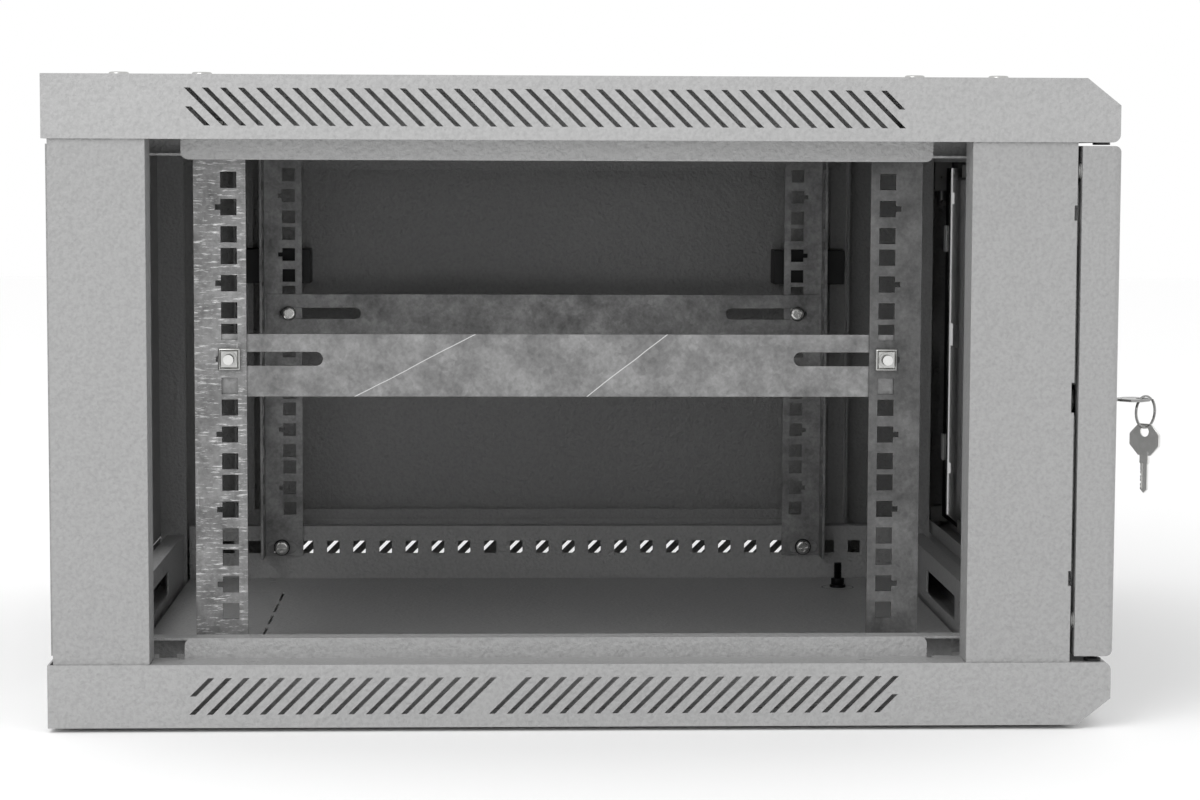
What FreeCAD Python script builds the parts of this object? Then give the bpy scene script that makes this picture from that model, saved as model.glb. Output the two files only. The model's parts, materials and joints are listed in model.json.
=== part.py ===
import FreeCAD, Part
import math
import os

import Sketcher

# Wall mount network cabinet, six rack units.
# Origin: centre of the wall bolt pattern on the wall plane.  X is the width, +Z is up and
# the door is on the -Y side.

os.makedirs("parts", exist_ok=True)
TINY = 1e-6
doc = FreeCAD.newDocument("NetworkCabinet")

# ---------------------------------------------------------------- driving sizes, millimetres
SIZES = (
    ("cab_width", 600, "width over the roof and base shells"),
    ("cab_height", 374, "height over the roof and base shells"),
    ("shell_depth", 614, "depth of the roof and base shells"),
    ("shell_sheet", 1.2, "sheet of the shells, floor and door"),
    ("shell_side", 36.6, "height of the shells' side walls"),
    ("bevel_run", 19.5, "depth taken by the sloping front edge"),
    ("bevel_rise", 15.5, "height taken by the sloping front edge"),
    ("front_bend", 4.5, "outside bend radius below the sloping edge"),
    ("flange_reach", 25, "width of the shells' inward side flanges"),
    ("lip_height", 11.6, "height of the stiffening lip on the side flanges"),
    ("lip_rear", 76, "distance of the lip from the wall"),
    ("lip_front_gap", 104, "lip to the front of the shells"),
    ("lip_relief", 3, "relief notch beside each lip end"),
    ("vent_start", 80.8, "rear end of the slots from the wall"),
    ("vent_tail", 120, "slots to the front of the shells, at least"),
    ("vent_inset", 7.7, "vents to the shell's flat face"),
    ("vent_height", 21.3, "height of the side vents"),
    ("vent_pitch", 10.13, "pitch of the slanted slots"),
    ("vent_gap", 3.4, "width of one slanted slot along the row"),
    ("post_sheet", 1.5, "sheet of posts, beams and cross members"),
    ("post_inset", 1.5, "posts inside the shells at their sides and ends"),
    ("post_width", 60, "inner return of the posts from the shells' sides"),
    ("post_depth", 60.5, "depth of the front posts"),
    ("post_return", 20, "depth of the posts' inner return"),
    ("rear_face", 3.2, "rear face of the rear posts from the wall"),
    ("rear_post_end", 58.2, "front face of the rear posts from the wall"),
    ("front_setback", 24, "front posts behind the front of the shells"),
    ("beam_inset", 50, "inboard face of the depth beams from the shells' sides"),
    ("beam_wall", 44.5, "height of the beams' walls"),
    ("beam_lip", 12, "outward lip of the beams"),
    ("beam_foot", 15, "inward foot of the beams"),
    ("beam_rear", 24, "rear end of the beams from the wall"),
    ("beam_setback", 20.5, "beams behind the face of the front posts"),
    ("hole_square", 9.5, "side of the square fixing holes"),
    ("beam_hole_first", 53.5, "first square hole of a beam"),
    ("beam_hole_pitch", 20, "pitch of the beams' square holes"),
    ("beam_hole_drop", 28.5, "beams' holes from the ends of the posts"),
    ("cross_wall", 39.5, "height of the cross members' walls"),
    ("cross_depth", 12, "flange of the cross members"),
    ("cross_rear", 20.5, "rear cross members, inboard face from the wall"),
    ("cross_setback", 17, "front cross members behind the face of the front posts"),
    ("join_gap", 0.5, "gap where one pressing meets the next"),
    ("floor_rise", 4.5, "top of the floor panel above the ends of the posts"),
    ("unit_pitch", 44.45, "one rack unit"),
    ("unit_low", 6.35, "first hole of a unit"),
    ("unit_mid", 22.225, "second hole of a unit"),
    ("unit_high", 38.1, "third hole of a unit"),
    ("rail_sheet", 2, "sheet of the rack rails"),
    ("rail_drop", 22, "ends of the rack rails from the ends of the posts"),
    ("rail_column_in", 17.45, "rack holes from the outer face of the rails"),
    ("rail_flange", 25, "width of the rack flange"),
    ("rail_side", 30.5, "width of the rails' side flange"),
    ("rail_rear", 80.3, "rack face of the rear rails from the wall"),
    ("rail_setback", 106, "rack face of the front rails behind the front of the shells"),
    ("rail_side_hole", 20.5, "side holes from the rack face"),
    ("rail_notch", 3.2, "keying notch of every middle hole"),
    ("rail_fix", 14.25, "fixing screw from the rack face"),
    ("fix_slot_long", 22, "length of the rails' fixing slots"),
    ("fix_slot_wide", 9, "width of the rails' fixing slots"),
    ("bar_sheet", 1.5, "sheet of the side bars"),
    ("bar_height", 36.8, "height of the side bars"),
    ("bar_fold", 12, "inward fold of the side bars"),
    ("bar_end", 4, "ends of the side bars from the rack faces"),
    ("bar_slot_wide", 8.2, "width of the bars' slots"),
    ("bar_slot_long", 62, "length of the bars' slots"),
    ("bar_slot_end", 9, "slots from the bars' ends"),
    ("panel_inset", 16, "rear panel from the shells' sides"),
    ("panel_gap", 2.9, "rear panel from the shells' skirts"),
    ("panel_sheet", 1.6, "sheet of the rear panel"),
    ("hem_side", 30, "hem of the rear panel at its sides"),
    ("hem_end", 14, "hem of the rear panel at its ends"),
    ("bolt_in", 19, "wall bolts from the rear panel's sides"),
    ("bolt_down", 27.5, "wall bolts from the rear panel's ends"),
    ("bolt_hole", 9, "wall bolt hole"),
    ("cable_wide", 280, "width of the cable opening"),
    ("cable_tall", 90, "height of the cable opening"),
    ("cable_edge", 17.5, "cable opening from the rear panel's lower end"),
    ("door_side_gap", 0.6, "door inside the shells at each side"),
    ("door_top_gap", 2, "door below the roof's skirt"),
    ("door_low_gap", 3.6, "door above the base's skirt"),
    ("door_stand", 2.5, "back of the door from the front posts"),
    ("door_proud", 1.5, "front of the door past the shells"),
    ("door_return", 10, "back return of the door frame"),
    ("window_side", 54.4, "window from the door's sides"),
    ("window_end", 25.4, "window from the shells' skirts"),
    ("window_fold", 9.5, "depth of the window collar"),
    ("glass_sheet", 4, "thickness of the glass"),
    ("glass_lap", 9, "lap of the glass behind the window edge"),
    ("hinge_in", 7.4, "hinge axis from the door's side"),
    ("hinge_deep", 11, "hinge axis from the door's front"),
    ("pin_size", 6, "hinge pin diameter"),
    ("pin_bore", 6.1, "bore of the hinge bushes"),
    ("bush_size", 8, "hinge bush body"),
    ("bush_flange", 10, "hinge bush flange"),
    ("bush_thick", 1.4, "hinge bush flange thickness"),
    ("spring_drop", 32.4, "spring seat of the upper hinge pin below the door's top"),
    ("lock_in", 26.4, "lock axis from the door's side"),
    ("lock_z", 0.6, "lock axis from mid height"),
    ("lock_size", 19, "lock barrel"),
    ("lock_flange", 22, "lock flange"),
    ("lock_proud", 2.5, "lock flange thickness"),
    ("plug_size", 12, "lock plug"),
    ("cam_sheet", 2.4, "lock cam thickness"),
    ("cam_back_gap", 4.5, "front face of the lock cam behind the door's back"),
    ("key_sheet", 1.6, "key thickness"),
    ("key_wide", 21, "width of the key head"),
    ("key_long", 19, "length of the key head"),
    ("key_stand", 5, "key head from the door's front"),
    ("key_eye", 6, "hole in the key head"),
    ("key_eye_edge", 4.83, "hole centre from the key's outer end"),
    ("blade_wide", 7, "width of the key blade"),
    ("blade_long", 22, "length of the key blade"),
    ("ring_size", 20, "outside diameter of the key ring"),
    ("ring_wire", 1.2, "wire of the key ring"),
    ("ring_turn", 43, "turn of the ring about the vertical, degrees"),
    ("ring_drop", 7.6, "ring centre below the key"),
    ("ring_lead", 4.8, "ring centre from the key's hole"),
    ("side_inset", 0.8, "outer face of the side panel inside the shells"),
    ("side_end_gap", 1.5, "side panel from the posts"),
    ("side_skirt_gap", 2.4, "side panel from the shells' skirts"),
    ("side_deep", 22.2, "depth of the side panel's folds"),
    ("side_return", 17, "return of the side panel along its long edges"),
    ("side_return_end", 12, "return of the side panel at its ends"),
    ("latch_level", 57, "middle of the latches above mid height"),
    ("latch_tall", 26, "height of the latch housings"),
    ("latch_long", 54, "length of the latch housings"),
    ("latch_deep", 32, "inner face of the latch housings from the shells' sides"),
    ("latch_end_gap", 2, "latches from the side panel's ends"),
)

sheet = doc.addObject("Spreadsheet::Sheet", "Sizes")


class Size:
    """A length as a constant and multiples of the sheet's cells, with its present value."""

    def __init__(self, constant, terms=None):
        self.constant = float(constant)
        self.terms = {cell: pair for cell, pair in (terms or {}).items() if abs(pair[0]) > TINY}
        self.number = self.constant + sum(times * value for times, value in self.terms.values())

    @property
    def formula(self):
        parts = ["%r * %s" % (round(times, 9), cell) for cell, (times, value) in self.terms.items()]
        if abs(self.constant) > TINY or not parts:
            parts.append(repr(round(self.constant, 6)))
        return " + ".join(parts)

    def scaled(self, factor):
        return Size(self.constant * factor, {cell: (times * factor, value)
                                             for cell, (times, value) in self.terms.items()})

    def __add__(self, other):
        other = as_size(other)
        terms = dict(self.terms)
        for cell, (times, value) in other.terms.items():
            terms[cell] = (times + terms.get(cell, (0, 0))[0], value)
        return Size(self.constant + other.constant, terms)

    def __mul__(self, other):
        other = as_size(other)
        if not other.terms:
            return self.scaled(other.constant)
        if not self.terms:
            return other.scaled(self.constant)
        return one_cell("(%s) * (%s)" % (self.formula, other.formula), self.number * other.number)

    def __truediv__(self, other):
        other = as_size(other)
        if not other.terms:
            return self.scaled(1 / other.constant)
        return one_cell("(%s) / (%s)" % (self.formula, other.formula), self.number / other.number)

    def __neg__(self):
        return self.scaled(-1)

    def __sub__(self, other):
        return self + -as_size(other)

    def __radd__(self, other):
        return self + other

    def __rsub__(self, other):
        return -self + other

    def __rmul__(self, other):
        return self.scaled(other)


def one_cell(text, value):
    return Size(0, {text: (1, value)})


def as_size(value):
    return value if isinstance(value, Size) else Size(value)


def root(value):
    return one_cell("sqrt(%s)" % value.formula, math.sqrt(value.number))


class Named:
    """The sheet's sizes by name."""


s = Named()
for line, (alias, number, meaning) in enumerate(SIZES, start=1):
    sheet.set("A%d" % line, meaning)
    sheet.set("B%d" % line, str(number))
    sheet.setAlias("B%d" % line, alias)
    setattr(s, alias, one_cell("Sizes." + alias, number))
doc.recompute()

# ---------------------------------------------------------------- drawing tools
NORMALS = {"XY_Plane": 1, "YZ_Plane": 1, "XZ_Plane": -1}
NODES = {}


def bind(item, prop, value):
    """Set a property from a size and keep it tied to the sheet."""
    item.setExpression(prop, as_size(value).formula)


def rect(u0, v0, u1, v1, radius=0):
    return [(u0, v0, radius), (u1, v0, radius), (u1, v1, radius), (u0, v1, radius)]


def bar_slot(u0, v0, u1, v1):
    """A slot with round ends between two opposite corners."""
    wide = abs(as_size(v1 - v0).number) <= abs(as_size(u1 - u0).number)
    across = v1 - v0 if wide else u1 - u0
    half = across / 2 if as_size(across).number > 0 else -across / 2
    return rect(u0, v0, u1, v1, half)


def disc(u, v, radius):
    return ("disc", u, v, radius)


def unit(p, q):
    du = q[0].number - p[0].number
    dv = q[1].number - p[1].number
    length = math.hypot(du, dv)
    return round(du / length, 9), round(dv / length, 9)


def corner_points(corners):
    """Ends of the straight edges at each corner, with the corner's radius."""
    pieces = []
    plain = [(as_size(c[0]), as_size(c[1]), as_size(c[2] if len(c) > 2 else 0)) for c in corners]
    for index, (u, v, radius) in enumerate(plain):
        if radius.number < TINY:
            pieces.append(((u, v), (u, v), None))
            continue
        before = unit((u, v), plain[index - 1])
        after = unit((u, v), plain[(index + 1) % len(plain)])
        start = (u + radius * before[0], v + radius * before[1])
        end = (u + radius * after[0], v + radius * after[1])
        centre = (start[0].number + radius.number * after[0],
                  start[1].number + radius.number * after[1])
        pieces.append((start, end, (radius, centre)))
    return pieces


def spot(pair):
    return FreeCAD.Vector(pair[0].number, pair[1].number, 0)


class Drawing:
    """A fully dimensioned sketch on one of a body's own planes."""

    def __init__(self, owner, role, level):
        self.sketch = owner.newObject("Sketcher::SketchObject", owner.Name + "_sketch")
        plane = [f for f in owner.Origin.OriginFeatures if f.Role == role][0]
        self.sketch.AttachmentSupport = [(plane, "")]
        self.sketch.MapMode = "FlatFace"
        bind(self.sketch, "AttachmentOffset.Base.z", as_size(level) * NORMALS[role])
        self.geometry = []
        self.constraints = []
        self.formulas = []

    def fix(self, kind, refs, size):
        value = as_size(size)
        self.constraints.append(Sketcher.Constraint(kind, *refs, value.number))
        if "Sizes" in value.formula:
            self.formulas.append((len(self.constraints) - 1, value.formula))

    def fix_point(self, index, end, pair):
        self.fix("DistanceX", (-1, 1, index, end), pair[0])
        self.fix("DistanceY", (-1, 1, index, end), pair[1])

    def loop(self, corners):
        if corners[0] == "disc":
            centre = (as_size(corners[1]), as_size(corners[2]))
            radius = as_size(corners[3])
            circle = Part.Circle(spot(centre), FreeCAD.Vector(0, 0, 1), radius.number)
            self.geometry.append(circle)
            index = len(self.geometry) - 1
            self.fix_point(index, 3, centre)
            self.fix("Radius", (index,), radius)
            return
        pieces = corner_points(corners)
        seen = []
        for number, (start, end, bend) in enumerate(pieces):
            if bend:
                self.arc(start, end, bend, seen)
            following = pieces[(number + 1) % len(pieces)][0]
            if (spot(following) - spot(end)).Length > TINY:
                self.geometry.append(Part.LineSegment(spot(end), spot(following)))
                index = len(self.geometry) - 1
                self.join(index, 1, end, seen)
                self.join(index, 2, following, seen)

    def arc(self, start, end, bend, seen):
        radius, centre = bend
        first = math.atan2(start[1].number - centre[1], start[0].number - centre[0])
        last = math.atan2(end[1].number - centre[1], end[0].number - centre[0])
        turn = (last - first) % (2 * math.pi)
        ends = (1, 2)
        if turn > math.pi:
            first, last = last, first
            ends = (2, 1)
        last = first + (last - first) % (2 * math.pi)
        middle = FreeCAD.Vector(centre[0], centre[1], 0)
        circle = Part.Circle(middle, FreeCAD.Vector(0, 0, 1), radius.number)
        self.geometry.append(Part.ArcOfCircle(circle, first, last))
        index = len(self.geometry) - 1
        self.fix("Radius", (index,), radius)
        self.join(index, ends[0], start, seen)
        self.join(index, ends[1], end, seen)

    def join(self, index, end, pair, seen):
        """Tie an edge's end to an earlier one at the same spot, or dimension it."""
        for other, other_end, place in seen:
            if (place - spot(pair)).Length < TINY:
                self.constraints.append(
                    Sketcher.Constraint("Coincident", index, end, other, other_end))
                return
        seen.append((index, end, spot(pair)))
        self.fix_point(index, end, pair)

    def finish(self):
        self.sketch.addGeometry(self.geometry, False)
        self.sketch.addConstraint(self.constraints)
        for index, formula in self.formulas:
            self.sketch.setExpression("Constraints[%d]" % index, formula)
        return self.sketch


def node(name, item):
    item.Label = name
    NODES[name] = item
    return item


def new_body(name):
    return node(name, doc.addObject("PartDesign::Body", name))


def grow(owner, kind, role, start, end, loops):
    drawing = Drawing(owner, role, start)
    for corners in loops:
        drawing.loop(corners)
    feature = owner.newObject("PartDesign::" + kind, owner.Name + "_" + kind)
    feature.Profile = drawing.finish()
    span = as_size(end) - start
    forward = span.number * NORMALS[role] > 0
    feature.Reversed = forward if kind == "Pocket" else not forward
    bind(feature, "Length", span if span.number > 0 else -span)
    feature.Refine = False
    return feature


def solid(owner, role, start, end, *loops):
    """Pad closed outlines between two levels across a plane."""
    return grow(owner, "Pad", role, start, end, loops)


def hole(owner, role, start, end, *loops):
    """Cut closed outlines between two levels across a plane."""
    return grow(owner, "Pocket", role, start, end, loops)


def row(owner, features, role, pitch, count):
    """Repeat features along one of the body's own axes."""
    pattern = owner.newObject("PartDesign::LinearPattern", owner.Name + "_row")
    axis = [f for f in owner.Origin.OriginFeatures if f.Role == role][0]
    pattern.Originals = features
    pattern.Direction = (axis, [""])
    pattern.Mode = "Spacing"
    pattern.Reversed = as_size(pitch).number < 0
    bind(pattern, "Offset", -pitch if as_size(pitch).number < 0 else pitch)
    pattern.Occurrences = count
    pattern.Refine = False
    owner.Tip = pattern
    return pattern


def block(name, x0, y0, z0, x1, y1, z1):
    """A box between two opposite corners given in any order."""
    box = doc.addObject("Part::Box", name)
    for prop, axis, low, high in (("Length", "x", x0, x1), ("Width", "y", y0, y1),
                                  ("Height", "z", z0, z1)):
        low, high = as_size(low), as_size(high)
        if low.number > high.number:
            low, high = high, low
        bind(box, prop, high - low)
        bind(box, "Placement.Base." + axis, low)
    return box


def place(item, x, y, z, direction=(0, 0, 1)):
    """Stand an item at a point with its own Z along a direction."""
    turn = FreeCAD.Rotation(FreeCAD.Vector(0, 0, 1), FreeCAD.Vector(*direction))
    item.Placement = FreeCAD.Placement(FreeCAD.Vector(0, 0, 0), turn)
    for axis, value in (("x", x), ("y", y), ("z", z)):
        bind(item, "Placement.Base." + axis, value)
    return item


def rod(name, x, y, z, direction, size, length):
    """A round bar of a given diameter standing on a point."""
    cylinder = doc.addObject("Part::Cylinder", name)
    bind(cylinder, "Radius", as_size(size) / 2)
    bind(cylinder, "Height", length)
    return place(cylinder, x, y, z, direction)


def fuse(name, parts):
    item = doc.addObject("Part::MultiFuse", name)
    item.Shapes = parts
    item.Refine = True
    return item


def cut(name, base, tools):
    item = doc.addObject("Part::Cut", name)
    item.Base = base
    item.Tool = tools[0] if len(tools) == 1 else fuse(name + "_tools", tools)
    item.Refine = True
    return item


def group(name, members):
    item = doc.addObject("Part::Compound", name)
    item.Links = members
    return node(name, item)


def screw(name, point, direction, head_size, head_tall, shank_size, shank_long):
    """A screw whose head sits on a point and whose shank runs along a direction."""
    away = tuple(-d for d in direction)
    head = rod(name + "_head", *point, away, head_size, head_tall)
    shank = rod(name + "_shank", *point, direction, shank_size, shank_long)
    return fuse(name, [head, shank])


def plate_with_bore(name, plate, point, direction, size, length):
    return cut(name, plate, [rod(name + "_bore", *point, direction, size, length)])


# ---------------------------------------------------------------- levels worked out from them
half_width = s.cab_width / 2
half_height = s.cab_height / 2
skirt = half_height - s.shell_side
slope = root(s.bevel_run * s.bevel_run + s.bevel_rise * s.bevel_rise)
bevel_top = s.shell_depth - s.bevel_run
lip_front = s.shell_depth - s.lip_front_gap
vent_length = s.shell_depth - s.vent_tail - s.vent_start - s.vent_height - s.vent_gap
VENT_SLOTS = 1 + int(vent_length.number / s.vent_pitch.number)
post_outer = half_width - s.post_inset
post_inner = half_width - s.post_width
post_top = half_height - s.post_inset
front_face = s.shell_depth - s.front_setback
front_post_end = front_face - s.post_depth
beam_face = half_width - s.beam_inset
beam_free = post_top - s.beam_wall
beam_front = front_face - s.beam_setback
beam_hole_level = post_top - s.beam_hole_drop
cross_free = post_top - s.cross_wall
cross_front = front_face - s.cross_setback
cross_reach = post_inner - s.join_gap
floor_top = s.floor_rise - post_top
floor_foot = s.post_sheet - post_top
floor_half = beam_face - s.post_sheet
rail_half = post_top - s.rail_drop
rail_column = beam_face - s.rail_column_in
rail_front = s.shell_depth - s.rail_setback
bar_face = beam_face - s.rail_sheet
bar_rear = s.rail_rear + s.bar_end
bar_front = rail_front - s.bar_end
panel_half = half_width - s.panel_inset
panel_tall = skirt - s.panel_gap
bolt_half_x = panel_half - s.bolt_in
bolt_half_z = panel_tall - s.bolt_down
cable_low = panel_tall - s.cable_edge
door_half = half_width - s.door_side_gap
door_top = skirt - s.door_top_gap
door_low = s.door_low_gap - skirt
door_back = front_face + s.door_stand
door_front = s.shell_depth + s.door_proud
window_half = door_half - s.window_side
window_tall = skirt - s.window_end
window_collar = door_front - s.window_fold
hinge_x = door_half - s.hinge_in
hinge_y = door_front - s.hinge_deep
lock_x = door_half - s.lock_in
cam_front = door_back - s.cam_back_gap
key_near = door_front + s.key_stand
side_skin = half_width - s.side_inset
side_rear = s.rear_post_end + s.side_end_gap
side_front = front_post_end - s.side_end_gap
side_tall = skirt - s.side_skirt_gap
side_inner = side_skin - s.side_deep
latch_inner = half_width - s.latch_deep
latch_front = side_front - s.latch_end_gap
latch_rear = side_rear + s.latch_end_gap
spring_seat = door_top - s.spring_drop

# ---------------------------------------------------------------- roof and base shells
SIDES = (("left", -1), ("right", 1))
ENDS = (("top", 1), ("base", -1))
NEAR_MISS = 0.3
PAST = 1
FAN_CIRCLE = 116
FAN_PITCH = 10
FAN_SLOT = 5
FAN_LINES = 5
FAN_SCREW_HALF = 52.5
FAN_SCREW_HOLE = 4.4
FAN_MIDDLE_X = 100
FAN_MIDDLE_BACK = 7
fan_middle_y = s.shell_depth / 2 - FAN_MIDDLE_BACK
shell_screws_y = (37, 85.3, s.shell_depth - 110.5, s.shell_depth - 60.8)
SCREW_CLEAR = 6.6
BUSH_FIT = 0.1
shell_screw_x = beam_face - s.beam_foot / 2
KNOCK_HALF = 184
KNOCK_REAR = 58
KNOCK_FRONT = 100
KNOCK_SLIT = 1.6
KNOCK_DASHES = 7
KNOCK_BRIDGE = 4
DASH_SHARE = 0.75


def vent_slot(number, up, ends=(0, 1)):
    """Corners of one slanted slot between two shares of the row's height."""
    rear = -(s.vent_start + s.vent_pitch * number)
    top = half_height - s.vent_inset
    near, far = s.vent_height * ends[0], s.vent_height * ends[1]
    return [(rear - near, up * (top - near)), (rear - near - s.vent_gap, up * (top - near)),
            (rear - far - s.vent_gap, up * (top - far)), (rear - far, up * (top - far))]


def knock_out():
    """Dashed slits round a knock-out cable entry, as outlines seen from above."""
    loops = []
    dash = 2 * KNOCK_HALF / KNOCK_DASHES
    for number in range(KNOCK_DASHES):
        left = -KNOCK_HALF + dash * (number + (1 - DASH_SHARE) / 2)
        for edge in (KNOCK_REAR, KNOCK_FRONT):
            loops.append(rect(left, -edge - KNOCK_SLIT, left + dash * DASH_SHARE, -edge))
    for side in (-1, 1):
        loops.append(rect(side * KNOCK_HALF, KNOCK_BRIDGE - KNOCK_FRONT,
                          side * (KNOCK_HALF + KNOCK_SLIT), -KNOCK_REAR - KNOCK_BRIDGE - KNOCK_SLIT))
    return loops


def shell(name, up, vent_runs):
    """A pressed shell with side walls, side flanges, lips and slanted vents."""
    body = new_body(name)
    t = s.shell_sheet
    inner_top = half_height - t
    front_flange = front_face + NEAR_MISS
    outline = [(0, up * skirt), (0, up * half_height), (-bevel_top, up * half_height),
               (-s.shell_depth, up * (half_height - s.bevel_rise)),
               (-s.shell_depth, up * skirt, s.front_bend)]
    solid(body, "YZ_Plane", -half_width, half_width, outline)
    inner_front = s.shell_depth - t
    hollow = [(-t, up * skirt), (-t, up * inner_top),
              (-bevel_top + t * (slope - s.bevel_run) / s.bevel_rise, up * inner_top),
              (-inner_front, up * (half_height - s.bevel_rise
                                   - t * (slope - s.bevel_rise) / s.bevel_run)),
              (-inner_front, up * (skirt + t), s.front_bend - t),
              (-front_flange, up * (skirt + t)), (-front_flange, up * skirt)]
    hole(body, "YZ_Plane", t - half_width, half_width - t, hollow)
    flange_edge = half_width - s.flange_reach
    rear = -s.rear_post_end - NEAR_MISS
    front = NEAR_MISS - front_post_end
    solid(body, "XY_Plane", up * skirt, up * (skirt + t),
          rect(flange_edge, rear, half_width - t / 2, front),
          rect(-flange_edge, rear, t / 2 - half_width, front))
    for side in (-1, 1):
        lip = [(-s.lip_rear, up * (skirt + t)),
               (-s.lip_rear, up * (skirt - s.lip_height), s.front_bend),
               (-lip_front, up * (skirt - s.lip_height), s.front_bend),
               (-lip_front, up * (skirt + t))]
        solid(body, "YZ_Plane", side * flange_edge, side * (flange_edge + t), lip)
    notch = flange_edge + 2 * s.lip_relief
    reliefs = [rect(side * (flange_edge - PAST), -y, side * notch, -y - s.lip_relief)
               for side in (-1, 1) for y in (s.lip_rear - s.lip_relief, lip_front)]
    hole(body, "XY_Plane", up * (skirt - PAST), up * (skirt + 2 * t), *reliefs)
    ends = [vent_slot(-1, up, (0.5, 1)), vent_slot(VENT_SLOTS, up, (0, 0.5))]
    hole(body, "YZ_Plane", -half_width - PAST, half_width + PAST, *ends)
    for first, count in vent_runs:
        one = hole(body, "YZ_Plane", -half_width - PAST, half_width + PAST, vent_slot(first, up))
        row(body, [one], "Y_Axis", -s.vent_pitch, count)
    bushes = [disc(side * hinge_x, -hinge_y, (s.bush_size + BUSH_FIT) / 2) for side in (-1, 1)]
    hole(body, "XY_Plane", up * (skirt - PAST), up * (skirt + 2 * t), *bushes)
    screws = [disc(side * shell_screw_x, -y, SCREW_CLEAR / 2)
              for side in (-1, 1) for y in shell_screws_y]
    hole(body, "XY_Plane", up * (inner_top - PAST), up * (half_height + PAST), *screws)
    return body


roof = shell("roof_shell", 1, ((0, VENT_SLOTS),))
grille = []
for fan in (-1, 1):
    for line in range(-FAN_LINES, FAN_LINES + 1):
        offset = line * FAN_PITCH
        reach = math.sqrt((FAN_CIRCLE / 2) ** 2 - offset ** 2)
        x = fan * FAN_MIDDLE_X + offset
        grille.append(bar_slot(x - FAN_SLOT / 2, -fan_middle_y - reach,
                               x + FAN_SLOT / 2, -fan_middle_y + reach))
    for dx in (-1, 1):
        for dy in (-1, 1):
            grille.append(disc(fan * FAN_MIDDLE_X + dx * FAN_SCREW_HALF,
                               -fan_middle_y + dy * FAN_SCREW_HALF, FAN_SCREW_HOLE / 2))
hole(roof, "XY_Plane", half_height - 3 * s.shell_sheet, half_height + PAST, *grille)
hole(roof, "XY_Plane", half_height - 3 * s.shell_sheet, half_height + PAST, *knock_out())

UNPUNCHED = 16
base = shell("base_shell", -1, ((0, UNPUNCHED), (UNPUNCHED + 1, VENT_SLOTS - UNPUNCHED - 1)))
BASE_OPEN_SIDE = 75
BASE_OPEN_REAR = 60
BASE_OPEN_END = 84
base_open_x = half_width - BASE_OPEN_SIDE
base_open_front = s.shell_depth - BASE_OPEN_END
BASE_OPEN_CORNER = 4
hole(base, "XY_Plane", -half_height - PAST, 3 * s.shell_sheet - half_height,
     rect(-base_open_x, -BASE_OPEN_REAR, base_open_x, -base_open_front, BASE_OPEN_CORNER))
FLANGE_HOLE_IN = 12
FLANGE_SLOT_WIDE = 4
FLANGE_SLOT_LONG = 8
flange_hole_x = half_width - FLANGE_HOLE_IN
flange_holes_y = (116, s.shell_depth - 141.5)
hole(base, "XY_Plane", -skirt - 2 * s.shell_sheet, PAST - skirt,
     *[bar_slot(side * flange_hole_x - FLANGE_SLOT_WIDE / 2, -y - FLANGE_SLOT_LONG / 2,
                side * flange_hole_x + FLANGE_SLOT_WIDE / 2, -y + FLANGE_SLOT_LONG / 2)
       for side in (-1, 1) for y in flange_holes_y])

# ---------------------------------------------------------------- floor panel
GROUND_HOLE = 6.2
GROUND_IN = 51
GROUND_BACK = 99
FLOOR_HOLE = 5
FLOOR_HOLE_IN = 21
FLOOR_HOLE_FROM_RAIL = 8.7
ground_x = beam_face - GROUND_IN
ground_y = s.shell_depth - GROUND_BACK
floor_hole_x = beam_face - FLOOR_HOLE_IN
floor_hole_y = s.rail_rear + FLOOR_HOLE_FROM_RAIL
floor = new_body("floor_panel")
floor_rear = -s.beam_rear - s.join_gap
floor_front = 2 * s.join_gap - beam_front
solid(floor, "XY_Plane", floor_foot, floor_top,
      rect(-floor_half, floor_rear, floor_half, floor_front))
hole(floor, "XY_Plane", floor_foot, floor_top - s.shell_sheet,
     rect(s.shell_sheet - floor_half, floor_rear - s.shell_sheet,
          floor_half - s.shell_sheet, floor_front + s.shell_sheet))
hole(floor, "XY_Plane", floor_top - 2 * s.shell_sheet, floor_top + PAST,
     disc(ground_x, -ground_y, GROUND_HOLE / 2),
     disc(floor_hole_x, -floor_hole_y, FLOOR_HOLE / 2), *knock_out(),
     *[disc(side * shell_screw_x, -y, SCREW_CLEAR / 2)
       for side in (-1, 1) for y in shell_screws_y])

# ---------------------------------------------------------------- corner posts
CAM_WINDOW_LOW = -5
CAM_WINDOW_HIGH = 12.5
CAM_WINDOW_WIDE = 36.5
PANEL_SCREW_OUT = 7
PANEL_SCREW_DOWN = 22.5
CROSS_SCREW_DOWN = 19.5
cam_window_x = post_outer - CAM_WINDOW_WIDE
panel_screw_x = post_inner + PANEL_SCREW_OUT
panel_screw_z = panel_tall - PANEL_SCREW_DOWN
cross_screw_level = post_top - CROSS_SCREW_DOWN
M5_CLEAR = 5.4
HOLE_CORNER = 8.7
CORNER_BREAK = 0.1
CORNER_HOLE_LEVELS = (110, -101.4)
POST_SCREW_BACK = 13
post_screw_y = front_face - POST_SCREW_BACK
POST_SCREW_LEVELS = (111, -99)


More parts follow.
